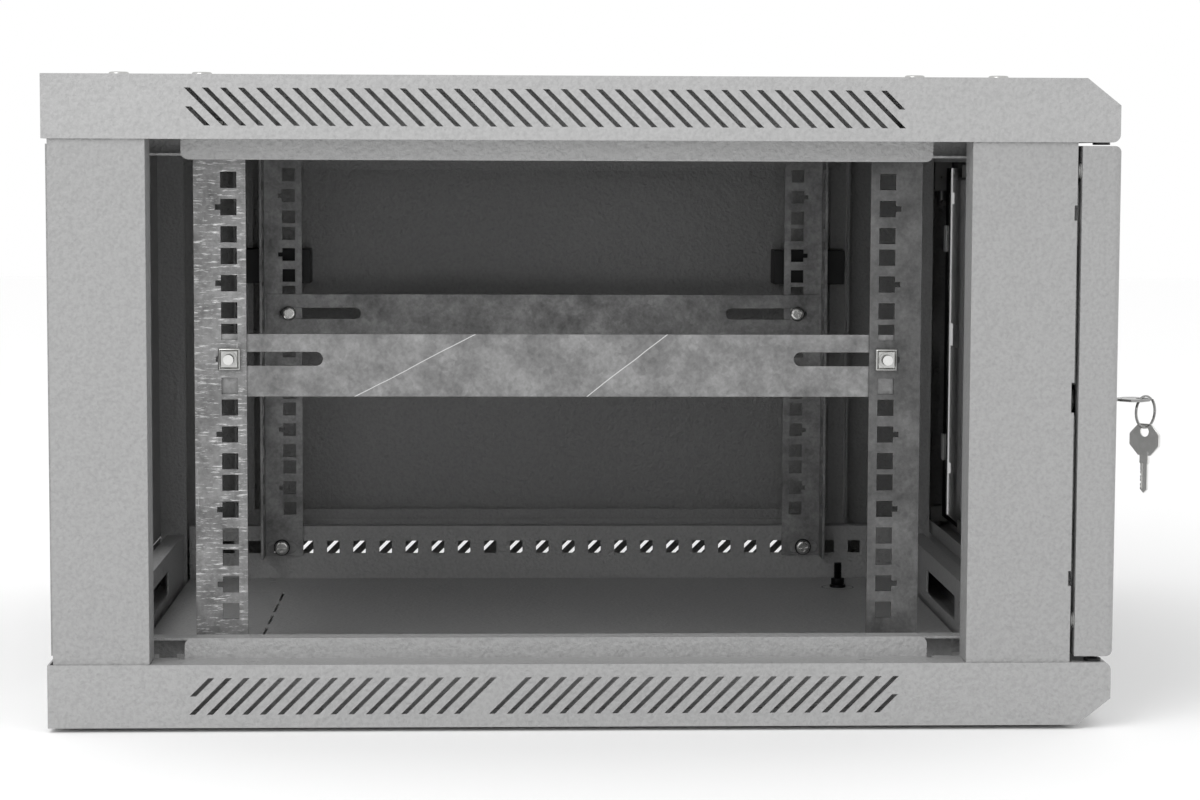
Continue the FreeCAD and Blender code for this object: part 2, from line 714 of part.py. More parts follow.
def post(name, side, at_front):
    """A folded corner post: side wall, outer wall and two returns."""
    body = new_body(name)
    t = s.post_sheet
    outer = post_outer
    panel_edge = half_width - s.flange_reach
    if at_front:
        wall, end, inward = -front_face, -front_post_end, 1
    else:
        wall, end, inward = -s.rear_face, -s.rear_post_end, -1
    # inward is the direction from the outer wall towards the middle of the cabinet
    outline = [(panel_edge, end), (outer, end), (outer, wall), (post_inner, wall),
               (post_inner, wall + inward * s.post_return),
               (post_inner + t, wall + inward * s.post_return),
               (post_inner + t, wall + inward * t), (outer - t, wall + inward * t),
               (outer - t, end - inward * t), (panel_edge, end - inward * t)]
    solid(body, "XY_Plane", -post_top, post_top,
          [(side * x, y) for x, y in outline])
    if at_front:
        hole(body, "XZ_Plane", wall + t + CORNER_BREAK, wall - PAST,
             rect(side * cam_window_x, CAM_WINDOW_LOW, side * (outer + PAST), CAM_WINDOW_HIGH),
             *[rect(side * (outer - HOLE_CORNER), level - HOLE_CORNER / 2,
                    side * (outer + PAST), level + HOLE_CORNER / 2)
               for level in CORNER_HOLE_LEVELS])
        hole(body, "YZ_Plane", side * (post_inner - PAST), side * (post_inner + 2 * t),
             *[disc(-post_screw_y, level, M5_CLEAR / 2) for level in POST_SCREW_LEVELS])
    else:
        hole(body, "XZ_Plane", wall + PAST, wall - 2 * t,
             *[disc(side * bolt_half_x, z * bolt_half_z, s.bolt_hole / 2) for z in (-1, 1)],
             *[disc(side * panel_screw_x, z * panel_screw_z, M5_CLEAR / 2) for z in (-1, 1)])
    cross_mid = cross_front + s.cross_depth / 2 if at_front else s.cross_rear - s.cross_depth / 2
    hole(body, "YZ_Plane", side * (post_inner - PAST), side * (post_inner + 2 * t),
         *[disc(-cross_mid, z * cross_screw_level, M5_CLEAR / 2) for z in (-1, 1)])
    return body


for side_name, side in SIDES:
    post("post_front_" + side_name, side, True)
    post("post_rear_" + side_name, side, False)

# ---------------------------------------------------------------- depth beams
BEAM_HOLES = 25


def beam(name, side, up):
    """A folded beam with an outward lip, an inward foot and a row of square holes."""
    body = new_body(name)
    t = s.post_sheet
    face, foot = beam_face, post_top
    outline = [(face - s.beam_foot, foot), (face + t, foot), (face + t, beam_free + t),
               (face + s.beam_lip, beam_free + t), (face + s.beam_lip, beam_free),
               (face, beam_free), (face, foot - t), (face - s.beam_foot, foot - t)]
    solid(body, "XZ_Plane", -s.beam_rear, -beam_front, [(side * x, up * z) for x, z in outline])
    half = s.hole_square / 2
    level = up * beam_hole_level
    one = hole(body, "YZ_Plane", side * (face - PAST), side * (face + 2 * t),
               rect(-s.beam_hole_first - half, level - half, half - s.beam_hole_first, level + half))
    row(body, [one], "Y_Axis", -s.beam_hole_pitch, BEAM_HOLES)
    hole(body, "XY_Plane", up * (foot - 2 * t), up * (foot + PAST),
         *[disc(side * shell_screw_x, -y, SCREW_CLEAR / 2) for y in shell_screws_y])
    return body


for end_name, up in ENDS:
    for side_name, side in SIDES:
        beam("beam_%s_%s" % (end_name, side_name), side, up)

# ---------------------------------------------------------------- cross members
CROSS_WINDOW = (10, 140)
CROSS_WINDOW_DOWN = (26.5, 9.5)
CROSS_WINDOW_CORNER = 3
CROSS_TAB_DOWN = (35.5, 3.5)
cross_window_levels = [post_top - down for down in CROSS_WINDOW_DOWN]
cross_tab_levels = [post_top - down for down in CROSS_TAB_DOWN]


def cross(name, at_front, up):
    """A channel between two posts, open away from the middle of the cabinet."""
    body = new_body(name)
    t = s.post_sheet
    near = -cross_front if at_front else -s.cross_rear
    away = -1 if at_front else 1
    foot = post_top
    reach = cross_reach
    outline = [(near, cross_free), (near + away * s.cross_depth, cross_free),
               (near + away * s.cross_depth, cross_free + t), (near + away * t, cross_free + t),
               (near + away * t, foot - t), (near + away * s.cross_depth, foot - t),
               (near + away * s.cross_depth, foot), (near, foot)]
    solid(body, "YZ_Plane", -reach, reach, [(y, up * z) for y, z in outline])
    low, high = cross_tab_levels
    for side in (-1, 1):
        solid(body, "YZ_Plane", side * reach, side * (reach - t),
              rect(near, up * low, near + away * s.cross_depth, up * high))
    hole(body, "YZ_Plane", -reach - PAST, reach + PAST,
         disc(near + away * s.cross_depth / 2, up * cross_screw_level, M5_CLEAR / 2))
    hole(body, "XZ_Plane", near - away * PAST, near + 2 * away * t,
         *[rect(side * CROSS_WINDOW[0], up * cross_window_levels[0],
                side * CROSS_WINDOW[1], up * cross_window_levels[1], CROSS_WINDOW_CORNER)
           for side in (-1, 1)])
    return body


for end_name, up in ENDS:
    cross("cross_%s_front" % end_name, True, up)
    cross("cross_%s_rear" % end_name, False, up)

# ---------------------------------------------------------------- rack rails
UNITS = 6
rack_low = -s.unit_pitch * UNITS / 2


def rail(name, side, at_front):
    """A rack rail with square holes on both flanges and a slot at each end."""
    body = new_body(name)
    t = s.rail_sheet
    away = -1 if at_front else 1
    face = -rail_front if at_front else -s.rail_rear
    outer = beam_face
    outline = [(outer, face), (outer, face - away * s.rail_side),
               (outer - t, face - away * s.rail_side), (outer - t, face - away * t),
               (outer - s.rail_flange, face - away * t), (outer - s.rail_flange, face)]
    solid(body, "XY_Plane", -rail_half, rail_half, [(side * x, y) for x, y in outline])
    half = s.hole_square / 2
    notch = half + s.rail_notch
    column = rail_column
    rack_holes = []
    side_holes = []
    spot_y = face - away * s.rail_side_hole
    for level in (s.unit_low, s.unit_mid, s.unit_high):
        z = rack_low + level
        rack_holes.append(rect(side * (column - half), z - half, side * (column + half), z + half))
        side_holes.append(rect(spot_y - half, z - half, spot_y + half, z + half))
    z = rack_low + s.unit_mid
    tooth = s.rail_notch / 2
    rack_holes[1] = [(side * (column - half), z - half), (side * (column + half), z - half),
                     (side * (column + half), z - tooth), (side * (column + notch), z - tooth),
                     (side * (column + notch), z + tooth), (side * (column + half), z + tooth),
                     (side * (column + half), z + half), (side * (column - half), z + half)]
    side_holes[1] = [(spot_y - away * half, z - half), (spot_y + away * half, z - half),
                     (spot_y + away * half, z - tooth), (spot_y + away * notch, z - tooth),
                     (spot_y + away * notch, z + tooth), (spot_y + away * half, z + tooth),
                     (spot_y + away * half, z + half), (spot_y - away * half, z + half)]
    first = hole(body, "XZ_Plane", face + away * PAST, face - 2 * away * t, *rack_holes)
    row(body, [first], "Z_Axis", s.unit_pitch, UNITS)
    second = hole(body, "YZ_Plane", side * (outer + PAST), side * (outer - 2 * t), *side_holes)
    row(body, [second], "Z_Axis", s.unit_pitch, UNITS)
    fix_y = face - away * s.rail_fix
    slots = [bar_slot(fix_y - s.fix_slot_long / 2, z * beam_hole_level - s.fix_slot_wide / 2,
                      fix_y + s.fix_slot_long / 2, z * beam_hole_level + s.fix_slot_wide / 2)
             for z in (-1, 1)]
    hole(body, "YZ_Plane", side * (outer + PAST), side * (outer - 2 * t), *slots)
    return body


for side_name, side in SIDES:
    rail("rail_front_" + side_name, side, True)
    rail("rail_rear_" + side_name, side, False)

# ---------------------------------------------------------------- side bars
for side_name, side in SIDES:
    bar = new_body("bar_" + side_name)
    t = s.bar_sheet
    solid(bar, "XZ_Plane", -bar_rear, -bar_front,
          [(side * x, z) for x, z in ((bar_face, 0), (bar_face, s.bar_height),
                                      (bar_face - t, s.bar_height), (bar_face - t, t),
                                      (bar_face - s.bar_fold, t), (bar_face - s.bar_fold, 0))])
    low = s.unit_mid - s.bar_slot_wide / 2
    high = s.unit_mid + s.bar_slot_wide / 2
    rear_slot = -bar_rear - s.bar_slot_end
    front_slot = s.bar_slot_end - bar_front
    hole(bar, "YZ_Plane", side * (bar_face + PAST), side * (bar_face - 2 * t),
         bar_slot(rear_slot - s.bar_slot_long, low, rear_slot, high),
         bar_slot(front_slot, low, front_slot + s.bar_slot_long, high))

# ---------------------------------------------------------------- rear panel
rear_panel = new_body("rear_panel")
plate_rear = s.panel_sheet - s.rear_face
solid(rear_panel, "XZ_Plane", plate_rear, -s.rear_face,
      rect(-panel_half, -panel_tall, panel_half, panel_tall))
solid(rear_panel, "XZ_Plane", 0, plate_rear,
      rect(-panel_half, -panel_tall, panel_half, panel_tall),
      rect(s.hem_side - panel_half, s.hem_end - panel_tall,
           panel_half - s.hem_side, panel_tall - s.hem_end))
CABLE_CORNER = 6
hole(rear_panel, "XZ_Plane", PAST, -2 * s.rear_face,
     rect(-s.cable_wide / 2, -cable_low, s.cable_wide / 2, s.cable_tall - cable_low, CABLE_CORNER),
     *[disc(x * bolt_half_x, z * bolt_half_z, s.bolt_hole / 2)
       for x in (-1, 1) for z in (-1, 1)],
     *[disc(x * panel_screw_x, z * panel_screw_z, M5_CLEAR / 2)
       for x in (-1, 1) for z in (-1, 1)])

# ---------------------------------------------------------------- fasteners of the cabinet
M6 = 6
M5 = 5
PAN_HEAD = 11
PAN_TALL = 3.6
WASHER = 12.4
WASHER_TALL = 1.2
SHELL_HEAD = 12
SHELL_HEAD_TALL = 2.6
SHELL_SCREW_LONG = 6
RAIL_SCREW_LONG = 14
BAR_SCREW_LONG = 12
SMALL_HEAD = 9
SMALL_HEAD_TALL = 3
FLAT_HEAD_TALL = 1.5
CROSS_SCREW_LONG = 8
POST_SCREW_LONG = 10
PANEL_SCREW_LONG = 16
NUT_SIDE = 11
NUT_TALL = 4.5
CAGE_SIDE = 13
NUT_BORE = 6.2

for end_name, up in ENDS:
    members = []
    for side_name, side in SIDES:
        for number, y in enumerate(shell_screws_y):
            members.append(screw("%s_%s_screw_%d" % (end_name, side_name, number),
                                 (side * shell_screw_x, -y, up * half_height), (0, 0, -up),
                                 SHELL_HEAD, SHELL_HEAD_TALL, M6,
                                 SHELL_SCREW_LONG))
    group("roof_screws" if up > 0 else "base_screws", members)


def square_nut(name, x, y, z, side, square):
    """A square nut standing outboard of a flange."""
    half = as_size(square) / 2
    plate = block(name + "_plate", x, y - half, z - half, x + side * NUT_TALL, y + half, z + half)
    return plate_with_bore(name, plate, (x - side * PAST, y, z), (side, 0, 0), NUT_BORE,
                           NUT_TALL + 2 * PAST)


rail_screws, rail_washers, rail_nuts, bar_screws, bar_nuts = [], [], [], [], []
for side_name, side in SIDES:
    for place_name, face, away in (("front", rail_front, -1), ("rear", s.rail_rear, 1)):
        y = -face - away * s.rail_fix
        for up in (-1, 1):
            tag = "%s_%s_%s" % (side_name, place_name, "top" if up > 0 else "base")
            z = up * beam_hole_level
            seat = bar_face - WASHER_TALL
            rail_screws.append(screw("rail_screw_" + tag, (side * seat, y, z), (side, 0, 0),
                                     PAN_HEAD, PAN_TALL, M6, RAIL_SCREW_LONG))
            disc_item = rod("washer_disc_" + tag, side * seat, y, z, (side, 0, 0), WASHER,
                            WASHER_TALL)
            rail_washers.append(plate_with_bore("washer_" + tag, disc_item,
                                                (side * (seat - PAST), y, z), (side, 0, 0),
                                                NUT_BORE, WASHER_TALL + 2 * PAST))
            rail_nuts.append(square_nut("rail_nut_" + tag, side * (beam_face + s.post_sheet),
                                        y, z, side, NUT_SIDE))
        tag = "%s_%s" % (side_name, place_name)
        y = -face - away * s.rail_side_hole
        bar_screws.append(screw("bar_screw_" + tag, (side * (bar_face - s.bar_sheet), y, s.unit_mid),
                                (side, 0, 0), PAN_HEAD, PAN_TALL, M6, BAR_SCREW_LONG))
        bar_nuts.append(square_nut("bar_nut_" + tag, side * beam_face, y, s.unit_mid, side,
                                   CAGE_SIDE))
group("rail_screws", rail_screws)
group("rail_washers", rail_washers)
group("rail_nuts", rail_nuts)
group("bar_screws", bar_screws)
group("cage_nuts", bar_nuts)

members = []
for up in (-1, 1):
    for away, near in ((-1, cross_front), (1, s.cross_rear)):
        for side in (-1, 1):
            y = -near + away * s.cross_depth / 2
            members.append(screw("cross_screw_%d" % len(members),
                                 (side * (cross_reach - s.post_sheet), y, up * cross_screw_level),
                                 (side, 0, 0), SMALL_HEAD, SMALL_HEAD_TALL, M5,
                                 CROSS_SCREW_LONG))
group("cross_screws", members)

members = []
for side in (-1, 1):
    for level in POST_SCREW_LEVELS:
        members.append(screw("post_screw_%d" % len(members),
                             (side * post_inner, -post_screw_y, level), (side, 0, 0),
                             SMALL_HEAD, SMALL_HEAD_TALL, M5, POST_SCREW_LONG))
group("post_screws", members)

members = []
for side in (-1, 1):
    for up in (-1, 1):
        members.append(screw("panel_screw_%d" % len(members),
                             (side * panel_screw_x, plate_rear, up * panel_screw_z), (0, -1, 0),
                             SMALL_HEAD, FLAT_HEAD_TALL, M5, PANEL_SCREW_LONG))
group("rear_panel_screws", members)

STUD_ROOT = 1.5
STUD_LONG = 20
STUD_COLLAR = 12
STUD_COLLAR_TALL = 2
STUD_NUT = 10
STUD_NUT_TALL = 5
stud = fuse("ground_stud", [
    rod("stud_rod", ground_x, -ground_y, floor_top - STUD_ROOT, (0, 0, 1), M6, STUD_LONG),
    rod("stud_collar", ground_x, -ground_y, floor_top, (0, 0, 1), STUD_COLLAR, STUD_COLLAR_TALL),
    rod("stud_nut", ground_x, -ground_y, floor_top + STUD_COLLAR_TALL, (0, 0, 1), STUD_NUT,
        STUD_NUT_TALL)])
node("ground_stud", stud)

BUSH_SLEEVE = 3
members = []
for up in (-1, 1):
    for side in (-1, 1):
        tag = "bush_%d" % len(members)
        flange = rod(tag + "_flange", side * hinge_x, -hinge_y, up * skirt, (0, 0, -up),
                     s.bush_flange, s.bush_thick)
        sleeve = rod(tag + "_sleeve", side * hinge_x, -hinge_y, up * skirt, (0, 0, up),
                     s.bush_size, BUSH_SLEEVE)
        whole = fuse(tag + "_body", [flange, sleeve])
        members.append(plate_with_bore(tag, whole,
                                       (side * hinge_x, -hinge_y, up * (skirt - BUSH_SLEEVE)),
                                       (0, 0, up), s.pin_bore, 3 * BUSH_SLEEVE))
group("hinge_bushes", members)

# ---------------------------------------------------------------- door
t = s.shell_sheet
door = new_body("door_frame")
slab = solid(door, "XZ_Plane", -door_back, -door_front,
             rect(-door_half, door_low, door_half, door_top))
doc.recompute()
front_edges = ["Edge%d" % (n + 1) for n, edge in enumerate(slab.Shape.Edges)
               if all(abs(v.Y + door_front.number) < TINY for v in edge.Vertexes)]
soften = door.newObject("PartDesign::Fillet", "door_front_edges")
soften.Base = (slab, front_edges)
bind(soften, "Radius", s.front_bend)
doc.recompute()
back_face = ["Face%d" % (n + 1) for n, face in enumerate(soften.Shape.Faces)
             if all(abs(v.Y + door_back.number) < TINY for v in face.Vertexes)]
pan = door.newObject("PartDesign::Thickness", "door_pan")
pan.Base = (soften, back_face)
bind(pan, "Value", t)
pan.Reversed = True
doc.recompute()
lip_x = door_half - s.door_return
solid(door, "XZ_Plane", -door_back, -door_back - t,
      rect(-door_half, door_low, door_half, door_top),
      rect(-lip_x, door_low + s.door_return, lip_x, door_top - s.door_return))
LOCK_FIT = 0.2
PIN_FIT = 0.6
GASKET_FIT = 0.5
hole(door, "XZ_Plane", -door_back - 2 * t, -door_front - PAST,
     rect(-window_half, -window_tall, window_half, window_tall),
     disc(-lock_x, s.lock_z, (s.lock_size + LOCK_FIT) / 2))
solid(door, "XZ_Plane", -window_collar, t / 2 - door_front,
      rect(-window_half, -window_tall, window_half, window_tall),
      rect(-window_half - t, -window_tall - t, window_half + t, window_tall + t))
for level in (door_low, door_top):
    hole(door, "XY_Plane", level - 2 * t, level + 2 * t,
         disc(hinge_x, -hinge_y, (s.pin_size + PIN_FIT) / 2))

glass_back = -window_collar + s.glass_sheet
glass_x = window_half + s.glass_lap
glass_z = window_tall + s.glass_lap
node("door_glass", block("door_glass", -glass_x, -window_collar, -glass_z,
                         glass_x, glass_back, glass_z))
gasket = new_body("door_gasket")
gap = t + GASKET_FIT
solid(gasket, "XZ_Plane", -window_collar, t - door_front,
      rect(-glass_x, -glass_z, glass_x, glass_z),
      rect(-window_half - gap, -window_tall - gap, window_half + gap, window_tall + gap))

CLIP_WIDE = 20
CLIP_SHEET = 1.2
CLIP_LAP = 7
CLIP_FOOT = 2
CLIP_IN = 45
CLIP_SHARE = 2 / 3
clips = []
foot_level = t - door_front
for side in (-1, 1):
    for level in (CLIP_IN - window_tall, window_tall - CLIP_IN):
        outer_x = side * (glass_x + CLIP_FOOT)
        tag = "clip_%d" % len(clips)
        lap = block(tag + "_lap", side * (glass_x - CLIP_LAP), glass_back, level - CLIP_WIDE / 2,
                    outer_x, glass_back + CLIP_SHEET, level + CLIP_WIDE / 2)
        leg = block(tag + "_leg", outer_x, foot_level, level - CLIP_WIDE / 2,
                    outer_x - side * CLIP_SHEET, glass_back + CLIP_SHEET, level + CLIP_WIDE / 2)
        clips.append(fuse(tag, [lap, leg]))
for up in (-1, 1):
    for across in (-CLIP_SHARE * window_half, 0, CLIP_SHARE * window_half):
        outer_z = up * (glass_z + CLIP_FOOT)
        tag = "clip_%d" % len(clips)
        lap = block(tag + "_lap", across - CLIP_WIDE / 2, glass_back, up * (glass_z - CLIP_LAP),
                    across + CLIP_WIDE / 2, glass_back + CLIP_SHEET, outer_z)
        leg = block(tag + "_leg", across - CLIP_WIDE / 2, foot_level, outer_z,
                    across + CLIP_WIDE / 2, glass_back + CLIP_SHEET, outer_z - up * CLIP_SHEET)
        clips.append(fuse(tag, [lap, leg]))
group("glass_clips", clips)

BUMPER = 9.5
BUMPER_DOWN = 14.4
BUMPER_UP = 20.8
bumper_levels = (door_top - BUMPER_DOWN, door_low + BUMPER_UP)
bumper_tall = door_back - front_face - NEAR_MISS
group("door_bumpers", [
    rod("bumper_%d" % number, -(door_half - s.door_return / 2), -door_back, level,
        (0, 1, 0), BUMPER, bumper_tall) for number, level in enumerate(bumper_levels)])

# ---------------------------------------------------------------- hinge pins
COLLAR = 9
COLLAR_TALL = 1
LOWER_PIN_DROP = 8.5
LOWER_PIN_LONG = 24
axis_x, axis_y = hinge_x, -hinge_y
lower_pin = fuse("hinge_pin_lower", [
    rod("lower_pin_rod", axis_x, axis_y, door_low - LOWER_PIN_DROP, (0, 0, 1), s.pin_size,
        LOWER_PIN_LONG),
    rod("lower_pin_collar", axis_x, axis_y, door_low, (0, 0, -1), COLLAR,
        s.door_low_gap - s.bush_thick - NEAR_MISS)])
node("hinge_pin_lower", lower_pin)

GUIDE_DEEP = 6.5
LOWER_GUIDE_TALL = 12


def pin_guide(tag, top, tall):
    """A folded bracket welded inside the door round a hinge pin."""
    x0, x1 = axis_x - GUIDE_DEEP, door_half - t
    y0, y1 = s.front_bend - door_front, axis_y + GUIDE_DEEP
    back = block(tag + "_back", x0 - t, y0, top - tall, x0, y1, top)
    roof_leaf = block(tag + "_upper", x0 - t, y0, top - t, x1, y1, top)
    floor_leaf = block(tag + "_lower", x0 - t, y0, top - tall, x1, y1, top - tall + t)
    whole = fuse(tag + "_folded", [back, roof_leaf, floor_leaf])
    return plate_with_bore(tag, whole, (axis_x, axis_y, top - tall - PAST), (0, 0, 1),
                           s.pin_bore, tall + 2 * PAST)


UPPER_GUIDE_TALL = 29
group("hinge_brackets", [
    pin_guide("upper_guide", spring_seat + UPPER_GUIDE_TALL, UPPER_GUIDE_TALL),
    pin_guide("lower_guide", door_low + s.front_bend + NEAR_MISS + LOWER_GUIDE_TALL,
              LOWER_GUIDE_TALL)])

PIN_TIP = 4.1
PIN_TAIL = 12
HANDLE = 4
HANDLE_LONG = 16
HANDLE_UP = 2.5
COLLAR_GAP = 0.4
upper_tip = skirt + PIN_TIP
upper_tail = spring_seat - PIN_TAIL
upper_collar_top = spring_seat + UPPER_GUIDE_TALL - t - COLLAR_GAP
upper_pin = fuse("hinge_pin_upper", [
    rod("upper_pin_rod", axis_x, axis_y, upper_tail, (0, 0, 1), s.pin_size,
        upper_tip - upper_tail),
    rod("upper_pin_collar", axis_x, axis_y, upper_collar_top - COLLAR_TALL, (0, 0, 1),
        COLLAR, COLLAR_TALL),
    rod("upper_pin_handle", axis_x, axis_y, upper_tail + HANDLE_UP, (-1, 0, 0), HANDLE,
        HANDLE_LONG)])
node("hinge_pin_upper", upper_pin)

SPRING_WIRE = 0.8
SPRING_MEAN = 7.8
SPRING_TURNS = 5
SPRING_GAP = 0.1
spring_low = spring_seat + t + SPRING_WIRE / 2 + SPRING_GAP
spring_high = upper_collar_top - COLLAR_TALL - SPRING_WIRE / 2 - SPRING_GAP
helix = doc.addObject("Part::Helix", "spring_path")
bind(helix, "Height", spring_high - spring_low)
bind(helix, "Pitch", (spring_high - spring_low) / SPRING_TURNS)
bind(helix, "Radius", SPRING_MEAN / 2)
place(helix, axis_x, axis_y, spring_low)
wire_end = doc.addObject("Part::Circle", "spring_section")
wire_end.Radius = SPRING_WIRE / 2
place(wire_end, axis_x + SPRING_MEAN / 2, axis_y, spring_low, (0, 1, 0))
spring = doc.addObject("Part::Sweep", "hinge_spring")
spring.Sections = [wire_end]
spring.Spine = (helix, [])
spring.Solid = True
spring.Frenet = True
node("hinge_spring", spring)

# ---------------------------------------------------------------- lock
PLUG_GAP = 0.08
LOCK_NUT_TALL = 5
LOCK_NUT = 24
lx, lz = -lock_x, s.lock_z
lock_front = -door_front - s.lock_proud
LOCK_END = 0.5
lock_back = LOCK_END - door_back
lock_body = cut("lock_body", fuse("lock_solid", [
    rod("lock_barrel", lx, lock_back, lz, (0, -1, 0), s.lock_size, door_front - door_back + LOCK_END),
    rod("lock_rim", lx, -door_front, lz, (0, -1, 0), s.lock_flange, s.lock_proud)]),
    [rod("lock_bore", lx, lock_back + PAST, lz, (0, -1, 0), s.plug_size + 2 * PLUG_GAP,
         2 * (door_front - door_back))])
node("lock_body", lock_body)
nut_face = t - door_front
lock_nut = plate_with_bore("lock_nut", rod("lock_nut_ring", lx, nut_face, lz, (0, 1, 0), LOCK_NUT,
                                           LOCK_NUT_TALL),
                           (lx, nut_face - PAST, lz), (0, 1, 0), s.lock_size + LOCK_FIT,
                           LOCK_NUT_TALL + 2 * PAST)
node("lock_nut", lock_nut)

cam_back = s.cam_sheet - cam_front
KEYWAY_GAP = 0.2
KEY_END_GAP = 2
PLUG_NECK = 10
NECK_DEEP = 10
plug_solid = fuse("plug_turned", [
    rod("plug_rod", lx, lock_front, lz, (0, 1, 0), s.plug_size,
        door_front + s.lock_proud - door_back),
    rod("plug_neck", lx, -cam_front, lz, (0, -1, 0), PLUG_NECK, NECK_DEEP)])
keyway = block("keyway", lx - s.blade_wide / 2 - KEYWAY_GAP, lock_front - PAST,
               lz - s.key_sheet / 2 - KEYWAY_GAP,
               lx + s.blade_wide / 2 + KEYWAY_GAP, lock_front + s.blade_long - KEY_END_GAP / 2,
               lz + s.key_sheet / 2 + KEYWAY_GAP)
node("lock_plug", cut("lock_plug", plug_solid, [keyway]))
CAM_LONG = 17
CAM_WIDE = 10.6
CAM_BORE = 5.2
cam = cut("lock_cam", fuse("cam_plate", [
    rod("cam_round", lx, -cam_front, lz, (0, 1, 0), CAM_WIDE, s.cam_sheet),
    block("cam_arm", lx - CAM_LONG, -cam_front, lz - CAM_WIDE / 2, lx, cam_back,
          lz + CAM_WIDE / 2)]),
    [rod("cam_bore", lx, -cam_front - PAST, lz, (0, 1, 0), CAM_BORE, s.cam_sheet + 2 * PAST)])
node("lock_cam", cam)
node("cam_screw", screw("cam_screw", (lx, cam_back, lz), (0, -1, 0), SMALL_HEAD,
                        SMALL_HEAD_TALL, M5, s.cam_sheet))

# ---------------------------------------------------------------- keys and key ring
key_far = key_near + s.key_long
key = new_body("key")
eye_y = -(key_far - s.key_eye_edge)
HEAD_CORNER = 5
TIP = 2
blade_end = key_near - (door_front + s.lock_proud) + s.blade_long - KEY_END_GAP
half_blade = s.blade_wide / 2
solid(key, "XY_Plane", lz - s.key_sheet / 2, lz + s.key_sheet / 2,
      [(lx - s.key_wide / 2, -key_far, HEAD_CORNER), (lx + s.key_wide / 2, -key_far, HEAD_CORNER),
       (lx + s.key_wide / 2, -key_near, HEAD_CORNER), (lx + half_blade, -key_near),
       (lx + half_blade, blade_end - key_near - TIP), (lx, blade_end - key_near),
       (lx - half_blade, blade_end - key_near - TIP), (lx - half_blade, -key_near),
       (lx - s.key_wide / 2, -key_near, HEAD_CORNER)],
      disc(lx, eye_y, s.key_eye / 2))

turn = math.radians(s.ring_turn.number)
along = (math.sin(turn), -math.cos(turn))
ring_x = lx + s.ring_lead * along[0]
ring_y = eye_y + s.ring_lead * along[1]
ring_z = lz - s.ring_drop
ring = doc.addObject("Part::Torus", "key_ring")
bind(ring, "Radius1", s.ring_size / 2 - s.ring_wire / 2)
bind(ring, "Radius2", s.ring_wire / 2)
place(ring, ring_x, ring_y, ring_z, (along[1], -along[0], 0))
node("key_ring", ring)

RIM_GAP = 0.2
hang_z = ring_z - s.ring_size / 2 + s.ring_wire + RIM_GAP - s.key_eye / 2
spare = new_body("spare_key")
edge = s.key_eye_edge
head_bottom = edge - s.key_long
solid(spare, "XY_Plane", -s.key_sheet / 2, s.key_sheet / 2,
      [(-s.key_wide / 2, edge, HEAD_CORNER), (s.key_wide / 2, edge, HEAD_CORNER),
       (s.key_wide / 2, head_bottom, HEAD_CORNER), (half_blade, head_bottom),
       (half_blade, head_bottom - s.blade_long + TIP), (0, head_bottom - s.blade_long),
       (-half_blade, head_bottom - s.blade_long + TIP), (-half_blade, head_bottom),
       (-s.key_wide / 2, head_bottom, HEAD_CORNER)],
      disc(0, 0, s.key_eye / 2))
across = FreeCAD.Vector(-along[1], along[0], 0)
upright = FreeCAD.Vector(0, 0, 1)
normal = across.cross(upright)
spare.Placement = FreeCAD.Placement(
    FreeCAD.Vector(0, 0, 0), FreeCAD.Rotation(across, upright, normal, "ZXY"))
for axis, value in (("x", ring_x), ("y", ring_y), ("z", hang_z)):
    bind(spare, "Placement.Base." + axis, value)

# ---------------------------------------------------------------- side panel and latches
TONGUE = (1, 4)
TONGUE_TALL = 12
KNOB_LONG = 12
KNOB_TALL = 8
KNOB_TRAVEL = 10
SLIDE_GAP = 0.4
KNOB_FROM = 16
TONGUE_END = 6
panel = new_body("side_panel")
skin = side_skin
panel_rear, panel_front = -side_rear, -side_front
solid(panel, "YZ_Plane", side_inner, skin,
      rect(panel_rear, -side_tall, panel_front, side_tall))
hole(panel, "YZ_Plane", side_inner + t, skin - t,
     rect(panel_rear - t, t - side_tall, panel_front + t, side_tall - t))
hole(panel, "YZ_Plane", side_inner - PAST, side_inner + t,
     rect(panel_rear - s.side_return_end, s.side_return - side_tall,
          panel_front + s.side_return_end, side_tall - s.side_return))
latch_cells = ((-latch_front, 1), (-latch_rear - s.latch_long, -1))
half_latch = s.latch_tall / 2
NECK_FROM = 4
NECK_LONG = 26
NECK_TALL = 12
BEZEL = 2.5


def neck_span(lead, way):
    """Front and rear ends of the finger opening of a latch."""
    return lead + way * NECK_FROM, lead + way * (NECK_FROM + NECK_LONG)


def latch_lead(y, way):
    """The end of a latch through which its tongue leaves."""
    return y if way > 0 else y + s.latch_long


hole(panel, "YZ_Plane", side_inner + t + PAST, skin + PAST,
     *[rect(neck_span(latch_lead(y, way), way)[0] - way * NEAR_MISS,
            s.latch_level - NECK_TALL / 2 - NEAR_MISS,
            neck_span(latch_lead(y, way), way)[1] + way * NEAR_MISS,
            s.latch_level + NECK_TALL / 2 + NEAR_MISS)
       for y, way in latch_cells])

hole(panel, "YZ_Plane", side_inner - PAST, side_inner + t,
     *[rect(y - NEAR_MISS, s.latch_level - half_latch - NEAR_MISS,
            y + s.latch_long + NEAR_MISS, s.latch_level + half_latch + NEAR_MISS)
       for y, way in latch_cells])

